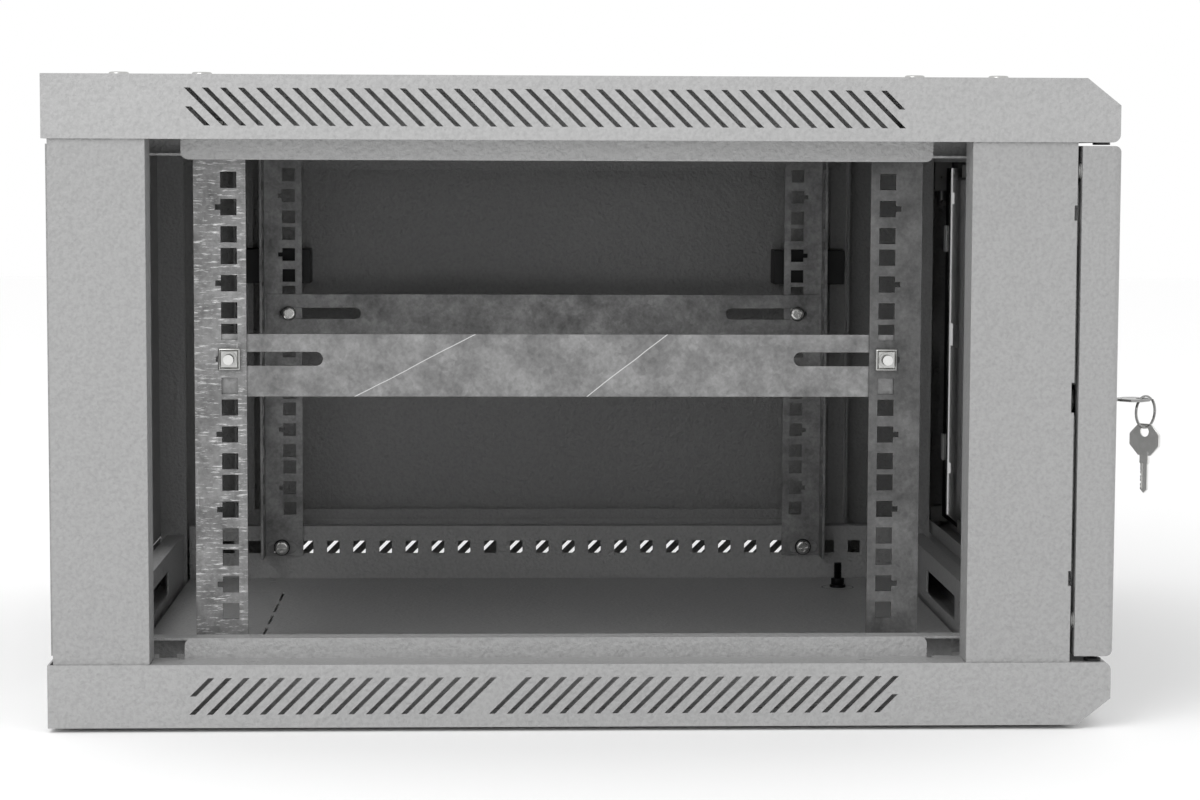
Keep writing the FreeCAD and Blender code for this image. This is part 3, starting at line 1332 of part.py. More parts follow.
housings = []
sliders = []
for number, (y, way) in enumerate(latch_cells):
    tag = "latch_%d" % number
    lead = latch_lead(y, way)
    neck_a, neck_b = neck_span(lead, way)
    z0 = s.latch_level - half_latch
    z1 = s.latch_level + half_latch
    case = fuse(tag + "_shell", [
        block(tag + "_case", latch_inner, y, z0, skin - t, y + s.latch_long, z1),
        block(tag + "_neck", skin - 2 * t, neck_a, s.latch_level - NECK_TALL / 2, half_width,
              neck_b, s.latch_level + NECK_TALL / 2),
        block(tag + "_bezel", skin, neck_a - way * BEZEL, s.latch_level - NECK_TALL / 2 - BEZEL,
              half_width, neck_b + way * BEZEL, s.latch_level + NECK_TALL / 2 + BEZEL)])
    inner = latch_inner + TONGUE[0]
    outer = latch_inner + TONGUE[1]
    tongue_half = TONGUE_TALL / 2
    tongue_tail = lead + way * (s.latch_long - TONGUE_END)
    knob_near = lead + way * KNOB_FROM
    channel = block(tag + "_channel", inner - SLIDE_GAP, lead - way, s.latch_level - tongue_half
                    - SLIDE_GAP, outer + SLIDE_GAP, tongue_tail + way * SLIDE_GAP,
                    s.latch_level + tongue_half + SLIDE_GAP)
    reach = block(tag + "_reach", inner, knob_near - way * (KNOB_TRAVEL + SLIDE_GAP),
                  s.latch_level - KNOB_TALL / 2 - SLIDE_GAP, half_width + PAST,
                  knob_near + way * (KNOB_LONG + SLIDE_GAP),
                  s.latch_level + KNOB_TALL / 2 + SLIDE_GAP)
    housings.append(cut(tag + "_housing", case, [channel, reach]))
    tongue = block(tag + "_tongue", inner, lead, s.latch_level - tongue_half, outer, tongue_tail,
                   s.latch_level + tongue_half)
    knob = block(tag + "_knob", inner, knob_near, s.latch_level - KNOB_TALL / 2, half_width - 0.4,
                 knob_near + way * KNOB_LONG, s.latch_level + KNOB_TALL / 2)
    sliders.append(fuse(tag + "_slider", [tongue, knob]))
group("latch_housings", housings)
node("latch_slider_front", sliders[0])
node("latch_slider_rear", sliders[1])

# ---------------------------------------------------------------- checks and export
doc.recompute()
for item in doc.Objects:
    if "Invalid" in item.State or "Error" in item.State:
        raise RuntimeError("object in error: %s" % item.Label)
for name, item in NODES.items():
    if item.Shape.isNull() or not item.Shape.isValid():
        raise RuntimeError("bad shape: %s" % name)
    item.Shape.exportStep("parts/%s.step" % name)
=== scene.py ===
"""Wall mount network cabinet: finishes, fasteners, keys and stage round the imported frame."""

import json
import math

import bmesh
import bpy
from mathutils import Matrix, Vector


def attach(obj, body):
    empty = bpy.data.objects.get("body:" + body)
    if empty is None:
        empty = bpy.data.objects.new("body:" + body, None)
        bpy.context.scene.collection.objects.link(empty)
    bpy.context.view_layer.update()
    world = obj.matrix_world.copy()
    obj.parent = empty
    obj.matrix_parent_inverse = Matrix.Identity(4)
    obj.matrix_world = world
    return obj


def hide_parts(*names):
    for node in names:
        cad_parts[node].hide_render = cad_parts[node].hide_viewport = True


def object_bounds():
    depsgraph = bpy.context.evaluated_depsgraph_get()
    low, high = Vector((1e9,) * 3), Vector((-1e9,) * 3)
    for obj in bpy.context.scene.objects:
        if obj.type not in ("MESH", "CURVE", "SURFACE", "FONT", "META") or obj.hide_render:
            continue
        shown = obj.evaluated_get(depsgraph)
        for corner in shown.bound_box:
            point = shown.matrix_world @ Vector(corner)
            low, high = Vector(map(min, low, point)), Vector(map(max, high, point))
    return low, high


bl_info = {
    "name": "Wall Mount Network Cabinet",
    "version": (1, 0, 0),
    "blender": (4, 5, 0),
    "location": "View3D > Sidebar > Cabinet",
    "description": "Finishes a steel rack cabinet with its fasteners, lock, keys and stage",
    "category": "Object",
}

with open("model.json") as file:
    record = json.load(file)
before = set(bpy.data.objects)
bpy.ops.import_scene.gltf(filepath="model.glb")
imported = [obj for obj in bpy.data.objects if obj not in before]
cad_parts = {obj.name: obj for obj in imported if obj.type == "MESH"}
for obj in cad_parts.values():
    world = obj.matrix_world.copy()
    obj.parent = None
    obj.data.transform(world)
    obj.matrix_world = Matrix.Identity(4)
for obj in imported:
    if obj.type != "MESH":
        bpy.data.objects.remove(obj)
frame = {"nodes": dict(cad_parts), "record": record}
CAD_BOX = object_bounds()
MM = 0.001
X, Y, Z = 0, 1, 2
# each dressed node's material, and how far its edges are rounded, in mm
FINISHES = {
    # the roof, base, inner frame and floor coats are lighter copies of the one coat: painted light
    "roof_shell": ("coat_roof_painted_light", 0.55), "base_shell": ("coat_base_painted_light", 0.55),
    "post_front_left": ("coat", 0.7), "post_front_right": ("coat", 0.7),
    "post_rear_left": ("coat", 0.7), "post_rear_right": ("coat", 0.7),
    "beam_top_left": ("coat_inner_painted_light", 0.5), "beam_top_right": ("coat_inner_painted_light", 0.5),
    "beam_base_left": ("coat_inner_painted_light", 0.5), "beam_base_right": ("coat_inner_painted_light", 0.5),
    "cross_top_front": ("coat_inner_painted_light", 0.5), "cross_top_rear": ("coat_inner_painted_light", 0.5),
    "cross_base_front": ("coat_inner_painted_light", 0.5), "cross_base_rear": ("coat_inner_painted_light", 0.5),
    "floor_panel": ("coat_floor_painted_light", 0.4), "rear_panel": ("coat", 0.5),
    "door_frame": ("coat", 0.4), "side_panel": ("coat", 0.45),
    # the near front rail's darker zinc and the far rails' and bar's lighter zinc are painted shade
    # and painted light
    "rail_front_left": ("zinc_near_painted_shade", 0.4), "rail_front_right": ("zinc_far_painted_light", 0.4),
    "rail_rear_left": ("zinc_worn", 0.4), "rail_rear_right": ("zinc_far_painted_light", 0.4),
    "bar_left": ("zinc_bar", 0.4), "bar_right": ("zinc_far_painted_light", 0.4),
    "hinge_brackets": ("zinc_plate", 0.3), "hinge_bushes": ("black_nylon", 0.2),
    "latch_housings": ("black_nylon", 0.8), "latch_slider_front": ("black_nylon", 0.5),
    "latch_slider_rear": ("black_nylon", 0.5), "lock_cam": ("zinc_plate", 0.3),
    "lock_body": ("nickel_plate", 0.5), "lock_plug": ("nickel_plate", 0.2),
    "lock_nut": ("zinc_plate", 0.4), "hinge_pin_lower": ("zinc_plate", 0.3),
    "hinge_pin_upper": ("zinc_plate", 0.3), "glass_clips": ("zinc_plate", 0.2),
    "door_glass": ("tinted_glass", 0.4), "door_gasket": ("foam", 0.3),
}
# edges flatter than SHADE_ANGLE are shaded smooth, sheet edges steeper than EASE_ANGLE are
# rounded, and faces that meet at less than FLAT_ANGLE are joined up (degrees)
SHADE_ANGLE = 40
EASE_ANGLE = 35
FLAT_ANGLE = 1
# how far the large faces outweigh the small in the shading (100 is most)
FLATS_WEIGH = 100
# a face whose normal's height is above this lies level
LEVEL = 0.99
# corners nearer than this are one corner (m)
SLIVER = 0.00002
MATERIALS = {}


# ---------------------------------------------------------------- settings
class CabinetFinish(bpy.types.PropertyGroup):
    """Colours and surface sizes of the cabinet's finishes."""

    coat: bpy.props.StringProperty(
        name="Coat", description="sRGB hex of the powder coat", default="9E9E9E")
    # the inner, roof, base and floor coats are lighter copies of the coat: painted light
    coat_inner_painted_light: bpy.props.StringProperty(
        name="Inner coat", description="sRGB hex of the inner frame's coat", default="B0B0B0")
    coat_roof_painted_light: bpy.props.StringProperty(
        name="Roof coat", description="sRGB hex of the roof's coat", default="A8A8A8")
    coat_base_painted_light: bpy.props.StringProperty(
        name="Base coat", description="sRGB hex of the base's coat", default="A3A3A3")
    coat_floor_painted_light: bpy.props.StringProperty(
        name="Floor coat", description="sRGB hex of the floor's coat", default="C0C0C0")
    peel: bpy.props.FloatProperty(
        name="Orange peel", description="Distance between the coat's ripples", default=0.0022,
        unit="LENGTH")
    spangle: bpy.props.FloatProperty(
        name="Spangle", description="Width of one zinc crystal", default=0.0035, unit="LENGTH")


class CabinetStage(bpy.types.PropertyGroup):
    """Camera place and light strengths."""

    eye: bpy.props.FloatVectorProperty(
        name="Camera", description="Camera place", default=(-1.93762, -0.25396, 0.14075),
        subtype="TRANSLATION")
    gaze: bpy.props.FloatVectorProperty(
        name="Gaze", description="Direction the camera looks in",
        default=(0.99573, -0.03796, -0.0841), subtype="DIRECTION")
    roll: bpy.props.FloatProperty(
        name="Roll", description="Turn of the camera about its gaze", default=0.0037,
        subtype="ANGLE")
    lens: bpy.props.FloatProperty(
        name="Lens", description="Focal length on a 36 mm sensor", default=86.19)
    key_light: bpy.props.FloatProperty(
        name="Key light", description="Power of the large soft light", default=17)
    sky: bpy.props.FloatProperty(
        name="Surround", description="Brightness of the white surround", default=1.0)


# ---------------------------------------------------------------- materials
# the coat's ripples over its slow swell in length, and the sizes of the other patterns in metres
SWELL = 0.35
DRIFT = 200 * MM
PATCH = 22.2 * MM
SPECK = 2.38 * MM
HAZE = 3.85 * MM
SMEAR = 111 * MM
WOBBLE, WOBBLE_BY = 33.3 * MM, 1.2 * MM
PEEL_HIGH = 0.7 * MM
GRAIN_HIGH = 0.1 * MM
# rubbed streaks: marks to the metre along X, Y and Z, and the noise level where they start
STREAKS = (((40, 90, 700), 0.55), ((40, 420, 25), 0.66))
STREAK_FADE = 0.12
# the two long scratches on the near bar: direction across each, distance, half width
BAR_SCRATCHES = (((0, 0.461, 0.888), -0.0795, 0.00022), ((0, 0.615, 0.788), -0.1903, 0.00026))
# a thin dark line painted round the ground stud, standing for the shade in the pressed ring there:
# middle, radius, half width of the line
GROUND_RING_SHADE = ((0.199, -0.515), 0.0117, 0.0004)
GLASS_IOR = 1.5
RESIN_IOR = 1.5


def linear(code, strength=1.0):
    """Linear colour of an sRGB hex code, darkened or lightened by a strength."""
    channels = []
    for start in (0, 2, 4):
        value = int(code[start:start + 2], 16) / 255
        low = value <= 0.04045
        level = value / 12.92 if low else ((value + 0.055) / 1.055) ** 2.4
        channels.append(min(1, level * strength))
    return (*channels, 1.0)


def feed(tree, item, sources):
    """Link nodes or sockets into a node's inputs, or set plain values there.

    A key is the name of an input that is in use, or its number where names repeat. A node
    given as a source stands for its first output that is in use.
    """
    for key, source in sources.items():
        if isinstance(key, int):
            entry = item.inputs[key]
        else:
            entry = next(way for way in item.inputs if way.enabled and way.name == key)
        if isinstance(source, bpy.types.Node):
            source = next(way for way in source.outputs if way.enabled)
        if isinstance(source, bpy.types.NodeSocket):
            tree.links.new(source, entry)
        else:
            entry.default_value = source


def put(tree, kind, sources, **options):
    """Add a node with its options, and feed its inputs."""
    item = tree.nodes.new("ShaderNode" + kind)
    for option, value in options.items():
        setattr(item, option, value)
    feed(tree, item, sources)
    return item


def blank(name):
    """A material with its tree, shader and object coordinates."""
    material = bpy.data.materials.new(name)
    MATERIALS[name] = material
    material.use_nodes = True
    tree = material.node_tree
    tree.nodes.clear()
    shader = put(tree, "BsdfPrincipled", {})
    put(tree, "OutputMaterial", {"Surface": shader})
    place = put(tree, "TexCoord", {}).outputs["Object"]
    return tree, shader, place


def shaded(tree, factor, colour, low, high):
    """One colour at two strengths, mixed by a pattern."""
    return put(tree, "Mix", {"Factor": factor, "A": linear(colour, low), "B": linear(colour, high)},
               data_type="RGBA")


def dimmed(tree, tone, pattern, amount, start, end, low):
    """Darken a tone to a low level where a pattern falls from end to start."""
    level = put(tree, "MapRange", {"Value": pattern, "From Min": start, "From Max": end,
                                   "To Min": low, "To Max": 1})
    return put(tree, "Mix", {"Factor": amount, "A": tone, "B": level},
               data_type="RGBA", blend_type="MULTIPLY")


def marked(tree, tone, mark, colour):
    """Lay a colour over a tone where a mark is one."""
    return put(tree, "Mix", {"Factor": mark, "A": tone, "B": linear(colour)}, data_type="RGBA")


def near_plane(tree, place, normal, offset, half_width):
    """One where a point lies on the flat band round a plane, else nought."""
    along = put(tree, "VectorMath", {0: place, 1: normal}, operation="DOT_PRODUCT")
    gap = put(tree, "Math", {0: along, 1: offset}, operation="SUBTRACT")
    size = put(tree, "Math", {0: gap}, operation="ABSOLUTE")
    return put(tree, "Math", {0: size, 1: half_width}, operation="LESS_THAN")


def near_ring(tree, place, middle, radius, half_width):
    """One where a point lies on an upright ring round a middle, else nought."""
    flat = put(tree, "VectorMath", {0: place, 1: (1, 1, 0)}, operation="MULTIPLY")
    away = put(tree, "VectorMath", {0: flat, 1: (*middle, 0)}, operation="DISTANCE")
    return put(tree, "Math", {0: away, 1: radius, 2: half_width}, operation="COMPARE")


def powder_coat(name, colour, peel, ring_shade=None):
    """Polyester powder coat on steel: satin, with the fine ripple called orange peel."""
    tree, shader, place = blank(name)
    ripple = put(tree, "TexNoise", {"Vector": place, "Scale": 1 / peel, "Detail": 2})
    swell = put(tree, "TexNoise", {"Vector": place, "Scale": SWELL / peel, "Detail": 1})
    height = put(tree, "Math", {0: ripple, 1: swell}, operation="ADD")
    drift = put(tree, "TexNoise", {"Vector": place, "Scale": 1 / DRIFT, "Detail": 2})
    tone = shaded(tree, drift, colour, low=0.95, high=1.05)
    tone = dimmed(tree, tone, ripple, amount=0.9, start=0.3, end=0.62, low=0.86)
    if ring_shade:
        # painted shade: a thin dark line for the pressed ring's groove
        tone = marked(tree, tone, near_ring(tree, place, *ring_shade), "272727")
    gloss = put(tree, "MapRange", {"Value": ripple, "To Min": 0.36, "To Max": 0.5})
    bump = put(tree, "Bump", {"Height": height, "Strength": 1, "Distance": PEEL_HIGH})
    feed(tree, shader, {"Base Color": tone, "Roughness": gloss, "Normal": bump,
                        "IOR": RESIN_IOR})


def galvanized(name, colour, spangle, wear, scratches=()):
    """Hot-dip galvanized sheet: faint zinc crystals, dull patches, rubbed streaks, scratches."""
    tree, shader, place = blank(name)
    crystals = put(tree, "TexVoronoi", {"Vector": place, "Scale": 1 / spangle})
    grey = put(tree, "RGBToBW", {"Color": crystals.outputs["Color"]})
    patches = put(tree, "TexNoise", {"Vector": place, "Scale": 1 / PATCH, "Detail": 6,
                                     "Roughness": 0.7})
    speck = put(tree, "TexNoise", {"Vector": place, "Scale": 1 / SPECK, "Detail": 3})
    tone = shaded(tree, grey, colour, low=0.88, high=1.1)
    tone = dimmed(tree, tone, patches, amount=0.8, start=0.3, end=0.66, low=0.38)
    tone = dimmed(tree, tone, speck, amount=0.5, start=0.32, end=0.6, low=0.7)
    if wear:
        for scale, start in STREAKS:
            stretched = put(tree, "Mapping", {"Vector": place, "Scale": scale})
            streak = put(tree, "TexNoise", {"Vector": stretched, "Scale": 1, "Detail": 4,
                                            "Roughness": 0.75})
            mark = put(tree, "MapRange", {"Value": streak, "From Min": start,
                                          "From Max": start + STREAK_FADE, "To Max": wear})
            tone = marked(tree, tone, mark, "E1E1E1")
    if scratches:
        wobble = put(tree, "TexNoise", {"Vector": place, "Scale": 1 / WOBBLE, "Detail": 2})
        shift = put(tree, "VectorMath", {0: wobble, "Scale": WOBBLE_BY}, operation="SCALE")
        place = put(tree, "VectorMath", {0: place, 1: shift}, operation="ADD")
    for normal, offset, half_width in scratches:
        mark = near_plane(tree, place, normal, offset, half_width)
        tone = marked(tree, tone, mark, "CECECE")
    gloss = put(tree, "MapRange", {"Value": patches, "To Min": 0.62, "To Max": 0.34})
    bump = put(tree, "Bump", {"Height": grey, "Strength": 0.12, "Distance": GRAIN_HIGH})
    feed(tree, shader, {"Base Color": tone, "Roughness": gloss, "Normal": bump, "Metallic": 0.8})


def plated(name, colour, rough_low, rough_high):
    """Plated steel with a little haze and fine handling marks."""
    tree, shader, place = blank(name)
    haze = put(tree, "TexNoise", {"Vector": place, "Scale": 1 / HAZE, "Detail": 3})
    gloss = put(tree, "MapRange", {"Value": haze, "To Min": rough_low, "To Max": rough_high})
    feed(tree, shader, {"Base Color": shaded(tree, haze, colour, low=0.8, high=1.05),
                        "Roughness": gloss, "Metallic": 1})


def moulded(name, colour, rough, grain):
    """Moulded nylon, rubber or foam with a fine spark-eroded grain."""
    tree, shader, place = blank(name)
    pits = put(tree, "TexNoise", {"Vector": place, "Scale": 1 / grain, "Detail": 2})
    bump = put(tree, "Bump", {"Height": pits, "Strength": 0.2, "Distance": GRAIN_HIGH})
    feed(tree, shader, {"Base Color": shaded(tree, pits, colour, low=0.8, high=1.25),
                        "Roughness": rough, "Normal": bump})


def tinted_glass(name, colour):
    """Toughened glass with a grey tint: clear enough to see the rails through."""
    tree, shader, place = blank(name)
    smear = put(tree, "TexNoise", {"Vector": place, "Scale": 1 / SMEAR, "Detail": 3})
    gloss = put(tree, "MapRange", {"Value": smear, "To Min": 0.01, "To Max": 0.05})
    feed(tree, shader, {"Base Color": linear(colour), "Roughness": gloss,
                        "Transmission Weight": 1, "IOR": GLASS_IOR})


def make_materials(finish):
    """Every finish on the cabinet, by its name."""
    peel, spangle = finish.peel, finish.spangle
    # satin grey coat, with lighter copies for the roof, the base, the inner frame and the floor as
    # painted light
    powder_coat("coat", finish.coat, peel)
    powder_coat("coat_inner_painted_light", finish.coat_inner_painted_light, peel)
    powder_coat("coat_roof_painted_light", finish.coat_roof_painted_light, peel)
    powder_coat("coat_base_painted_light", finish.coat_base_painted_light, peel)
    powder_coat("coat_floor_painted_light", finish.coat_floor_painted_light, peel, GROUND_RING_SHADE)
    # galvanized strip: rubbed, a darker copy for the near front rail as painted shade, scratched,
    # and a lighter copy for the far rails and bar as painted light
    galvanized("zinc_worn", "989898", spangle, 1.0)
    galvanized("zinc_near_painted_shade", "727272", spangle, 0)
    galvanized("zinc_bar", "989898", spangle, 0, BAR_SCRATCHES)
    galvanized("zinc_far_painted_light", "AEAEAE", spangle, 0)
    # plated hardware: dull zinc, nickel, black zinc and new bright zinc
    plated("zinc_plate", "C2C2C0", 0.22, 0.42)
    plated("nickel_plate", "9B9B9A", 0.16, 0.32)
    plated("black_zinc", "2A2A2B", 0.3, 0.5)
    plated("bright_zinc", "E4E4E2", 0.1, 0.22)
    # nylon latches and bushes, the foam seal, the bumpers and the window
    moulded("black_nylon", "131415", 0.45, 0.6 * MM)
    moulded("foam", "101011", 0.9, 1 * MM)
    moulded("grey_rubber", "7E7E7D", 0.5, 1 * MM)
    tinted_glass("tinted_glass", "5C5C5C")


# ---------------------------------------------------------------- shaping tools
def coat(item, name):
    """Give an object one material."""
    item.data.materials.clear()
    item.data.materials.append(MATERIALS[name])


def body_of(node):
    """The moving body that carries a CAD node."""
    for body, names in frame["record"]["behaviour"]["bodies"].items():
        if node in names:
            return body
    raise ValueError("no body holds " + node)


def stand_for(item, *nodes):
    """The piece rides as the first node does, and hides them all."""
    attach(item, body_of(nodes[0]))
    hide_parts(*nodes)


def activate(item):
    bpy.ops.object.select_all(action="DESELECT")
    item.select_set(True)
    bpy.context.view_layer.objects.active = item


def enter_edit(item, action):
    """Open a piece in edit mode with all of it selected, or none."""
    activate(item)
    bpy.ops.object.mode_set(mode="EDIT")
    bpy.ops.mesh.select_all(action=action)


def leave_edit():
    bpy.ops.object.mode_set(mode="OBJECT")


def settle(item):
    """Move an object's place and size into its mesh."""
    activate(item)
    bpy.ops.object.transform_apply(location=True, rotation=True, scale=True)
    return item


def apply_modifiers(item):
    activate(item)
    for modifier in list(item.modifiers):
        bpy.ops.object.modifier_apply(modifier=modifier.name)


def smooth(item):
    """Shade a piece smooth, apart from its sharp edges."""
    activate(item)
    bpy.ops.object.shade_smooth_by_angle(angle=math.radians(SHADE_ANGLE))
    return item


def bevel(item, width, segments=2, angle=30):
    """Round the edges that are sharper than an angle."""
    modifier = item.modifiers.new("round", "BEVEL")
    modifier.width = width
    modifier.segments = segments
    modifier.limit_method = "ANGLE"
    modifier.angle_limit = math.radians(angle)
    apply_modifiers(item)
    return item


def carve(item, tool, kind="DIFFERENCE"):
    """Take a tool away from a piece, or add it."""
    modifier = item.modifiers.new("carve", "BOOLEAN")
    modifier.object = tool
    modifier.operation = kind
    modifier.solver = "EXACT"
    apply_modifiers(item)
    bpy.data.objects.remove(tool)
    return item


def sink(item, test, rim, depth):
    """Inset the faces that pass a test and push them in."""
    bpy.context.tool_settings.mesh_select_mode = (False, False, True)
    enter_edit(item, "DESELECT")
    leave_edit()
    for face in item.data.polygons:
        face.select = test(face)
    bpy.ops.object.mode_set(mode="EDIT")
    bpy.ops.mesh.inset(thickness=rim, depth=depth)
    leave_edit()


def join(items, name):
    """Make one object of several."""
    activate(items[0])
    for item in items:
        item.select_set(True)
    if len(items) > 1:
        bpy.ops.object.join()
    items[0].name = name
    return items[0]


def add_cube(size, location=(0, 0, 0), rotation=(0, 0, 0)):
    """A block of three sizes at a place."""
    bpy.ops.object.select_all(action="DESELECT")
    bpy.ops.mesh.primitive_cube_add(size=1, location=location, rotation=rotation, scale=size)
    return settle(bpy.context.object)


def add_round(radius, low, high, steps):
    """An upright round bar between two levels."""
    bpy.ops.object.select_all(action="DESELECT")
    bpy.ops.mesh.primitive_cylinder_add(vertices=steps, radius=radius, depth=high - low,
                                        location=(0, 0, (low + high) / 2), end_fill_type="NGON")
    return settle(bpy.context.object)


def merged_copy(node, name):
    """A closed copy of a CAD node with its flat faces joined up."""
    source = frame["nodes"][node]
    item = bpy.data.objects.new(name, source.data.copy())
    bpy.context.collection.objects.link(item)
    enter_edit(item, "SELECT")
    bpy.ops.mesh.remove_doubles(threshold=SLIVER)
    bpy.ops.mesh.dissolve_limited(angle_limit=math.radians(FLAT_ANGLE))
    leave_edit()
    return item


def ease_edges(item, width):
    """Round every sharp edge as a press or a mould leaves it, and keep the flats flat."""
    smooth(bevel(item, width, angle=EASE_ANGLE))
    # large flats set the normals at their rims, so no streaks fan out from a hole
    flats = item.modifiers.new("flats", "WEIGHTED_NORMAL")
    flats.mode = "FACE_AREA"
    flats.weight = FLATS_WEIGH
    flats.keep_sharp = True
    apply_modifiers(item)


def islands(node):
    """Lowest and highest corners of each separate solid in a CAD node."""
    mesh = bmesh.new()
    mesh.from_mesh(frame["nodes"][node].data)
    bmesh.ops.remove_doubles(mesh, verts=mesh.verts, dist=SLIVER)
    left = set(mesh.verts)
    boxes = []
    while left:
        queue = [left.pop()]
        found = []
        while queue:
            vertex = queue.pop()
            found.append(vertex.co.copy())
            for edge in vertex.link_edges:
                other = edge.other_vert(vertex)
                if other in left:
                    left.remove(other)
                    queue.append(other)
        low = Vector([min(point[axis] for point in found) for axis in (X, Y, Z)])
        high = Vector([max(point[axis] for point in found) for axis in (X, Y, Z)])
        boxes.append((low, high))
    mesh.free()
    return sorted(boxes, key=lambda box: tuple(round(value, 4) for value in box[0]))


# ---------------------------------------------------------------- models of the small parts
ROUND_STEPS = 28
THREAD_STEPS = 16
# a thread's root over its crest, and its pitch over its size
THREAD_DEPTH = 0.84
THREAD_PITCH = 0.17
# a cross recess's length and width over the head's width, and its cutter's height and the
# dome's rounding over the head's height
RECESS_LONG = 0.58
RECESS_WIDE = 0.13
RECESS_DEEP = 1.1
DOME = 0.6
DOME_STEPS = 4
# edges steeper than this are a blank's rims (degrees)
RIM_ANGLE = 60
# a washer's broken edge over its height, and a hexagon nut's over its width
WASHER_EDGE = 0.2
HEX, HEX_EDGE = 6, 0.04
# a square nut's plate, corner, hollow and collar, as shares of its height, side or bore
NUT_PLATE = 0.8
NUT_CORNER = 0.07
NUT_HOLLOW = 0.22
COLLAR_FROM = 0.3
COLLAR_WIDE = 0.72
COIL_STEPS = 32
WIRE_STEPS = 8


def threaded(size, low, high):
    """A round bar with a row of thread grooves between two levels."""
    rod = add_round(size / 2, low, high, THREAD_STEPS)
    turns = max(2, int((high - low) / (size * THREAD_PITCH)))
    half_pitch = (high - low) / turns / 2
    enter_edit(rod, "SELECT")
    for ring in range(1, 2 * turns):
        bpy.ops.mesh.select_all(action="SELECT")
        bpy.ops.mesh.bisect(plane_co=(0, 0, low + ring * half_pitch), plane_no=(0, 0, 1))
    leave_edit()
    for vertex in rod.data.vertices:
        if round((vertex.co.z - low) / half_pitch) % 2 == 1:
            vertex.co.x *= THREAD_DEPTH
            vertex.co.y *= THREAD_DEPTH
    return rod


def bored(item, bore, tall):
    """Cut a bore right through a flat piece that stands on the origin."""
    return carve(item, add_round(bore / 2, -tall, 2 * tall, ROUND_STEPS))


def screw_model(head, tall, shank, length):
    """A pan-head screw, seat at the origin, head up: domed, with a cross recess and thread."""
    cap = bevel(add_round(head / 2, 0, tall, ROUND_STEPS), tall * DOME, DOME_STEPS, RIM_ANGLE)
    for turn in (0, math.pi / 2):
        carve(cap, add_cube((head * RECESS_LONG, head * RECESS_WIDE, tall * RECESS_DEEP),
                            (0, 0, tall), (0, 0, turn)))
    return smooth(join([cap, threaded(shank, -length, 0)], "screw"))


def washer_model(size, bore, tall):
    """A flat washer with its edges broken."""
    ring = bored(add_round(size / 2, 0, tall, ROUND_STEPS), bore, tall)
    return smooth(bevel(ring, tall * WASHER_EDGE))


def square_nut_model(side, bore, tall):
    """A pressed square nut: rounded corners, a sunk face and a raised collar round the bore."""
    thick = tall * NUT_PLATE
    plate = bevel(add_cube((side, side, thick), (0, 0, thick / 2)), side * NUT_CORNER, segments=3)
    sink(plate, lambda face: face.normal.z > LEVEL and face.area > (side / 2) ** 2,
         side * NUT_CORNER, -tall * NUT_HOLLOW)
    carve(plate, add_round(bore * COLLAR_WIDE, tall * COLLAR_FROM, tall, ROUND_STEPS), "UNION")
    return smooth(bored(plate, bore, tall))


def hex_nut_model(across, bore, tall):
    """A hexagon nut with its edges broken."""
    nut = bevel(add_round(across / 2, 0, tall, HEX), across * HEX_EDGE)
    return smooth(bored(nut, bore, tall))


def coil_model(wire, squash, mean, rise, turns):
    """A wire wound round Z, starting at the origin's level, with closed ends."""
    bpy.ops.object.select_all(action="DESELECT")
    bpy.ops.mesh.primitive_circle_add(vertices=WIRE_STEPS, radius=wire / 2, location=(mean, 0, 0),
                                      rotation=(math.pi / 2, 0, 0), scale=(1, squash, 1))
    item = settle(bpy.context.object)
    wind = item.modifiers.new("wind", "SCREW")
    wind.axis = "Z"
    wind.angle = 2 * math.pi
    wind.iterations = turns
    wind.screw_offset = rise
    wind.steps = COIL_STEPS
    wind.render_steps = COIL_STEPS
    apply_modifiers(item)
    bpy.context.tool_settings.mesh_select_mode = (True, False, False)
    enter_edit(item, "DESELECT")
    bpy.ops.mesh.select_non_manifold()
    bpy.ops.mesh.fill_holes(sides=0)
    bpy.ops.mesh.select_all(action="SELECT")
    bpy.ops.mesh.normals_make_consistent(inside=False)
    leave_edit()
    return smooth(item)


# a key's head, its cut corners, its eye and the eye's middle below the top edge, the sheet;
# the collar under the head, the blade and its blunt tip; the sunk panel's rim and depth, and
# how far the edges are rounded, all in metres
KEY = {"wide": 0.021, "long": 0.019, "corner": 0.0062, "eye": 0.006, "edge": 0.00483,
       "thick": 0.0016, "collar": 0.007, "shoulder": 0.005, "blade": 0.0046, "reach": 0.022,
       "tip": 0.0016, "rim": 0.0016, "sunk": 0.00025, "soft": 0.0006, "burr": 0.00012}
# how far below the collar each cut is, and how deep
TEETH = ((0.004, 0.0004), (0.0062, 0.0008), (0.0084, 0.0005), (0.0108, 0.0009), (0.0132, 0.0006))
# how much wider the square cutter is than its cut is deep, and half its diagonal over its side
CUTTER_PAST = 0.001
DIAMOND = 0.707
# the milled groove: shares of the blade's reach, width and thickness, and its start
GROOVE_LONG, GROOVE_WIDE, GROOVE_ASIDE = 0.8, 0.3, 0.12
GROOVE_CUTTER, GROOVE_OUT, GROOVE_DOWN = 0.5, 0.55, 0.002
# edges steeper than these are softened on the bare head, and broken on the whole key (degrees)
HEAD_ANGLE, BURR_ANGLE = 40, 50
# blade and collar are a hair thinner than the head, so that no faces coincide
BLADE_THIN, COLLAR_THIN = 0.999, 0.998
# the collar's rounding over its width
COLLAR_EDGE = 0.12


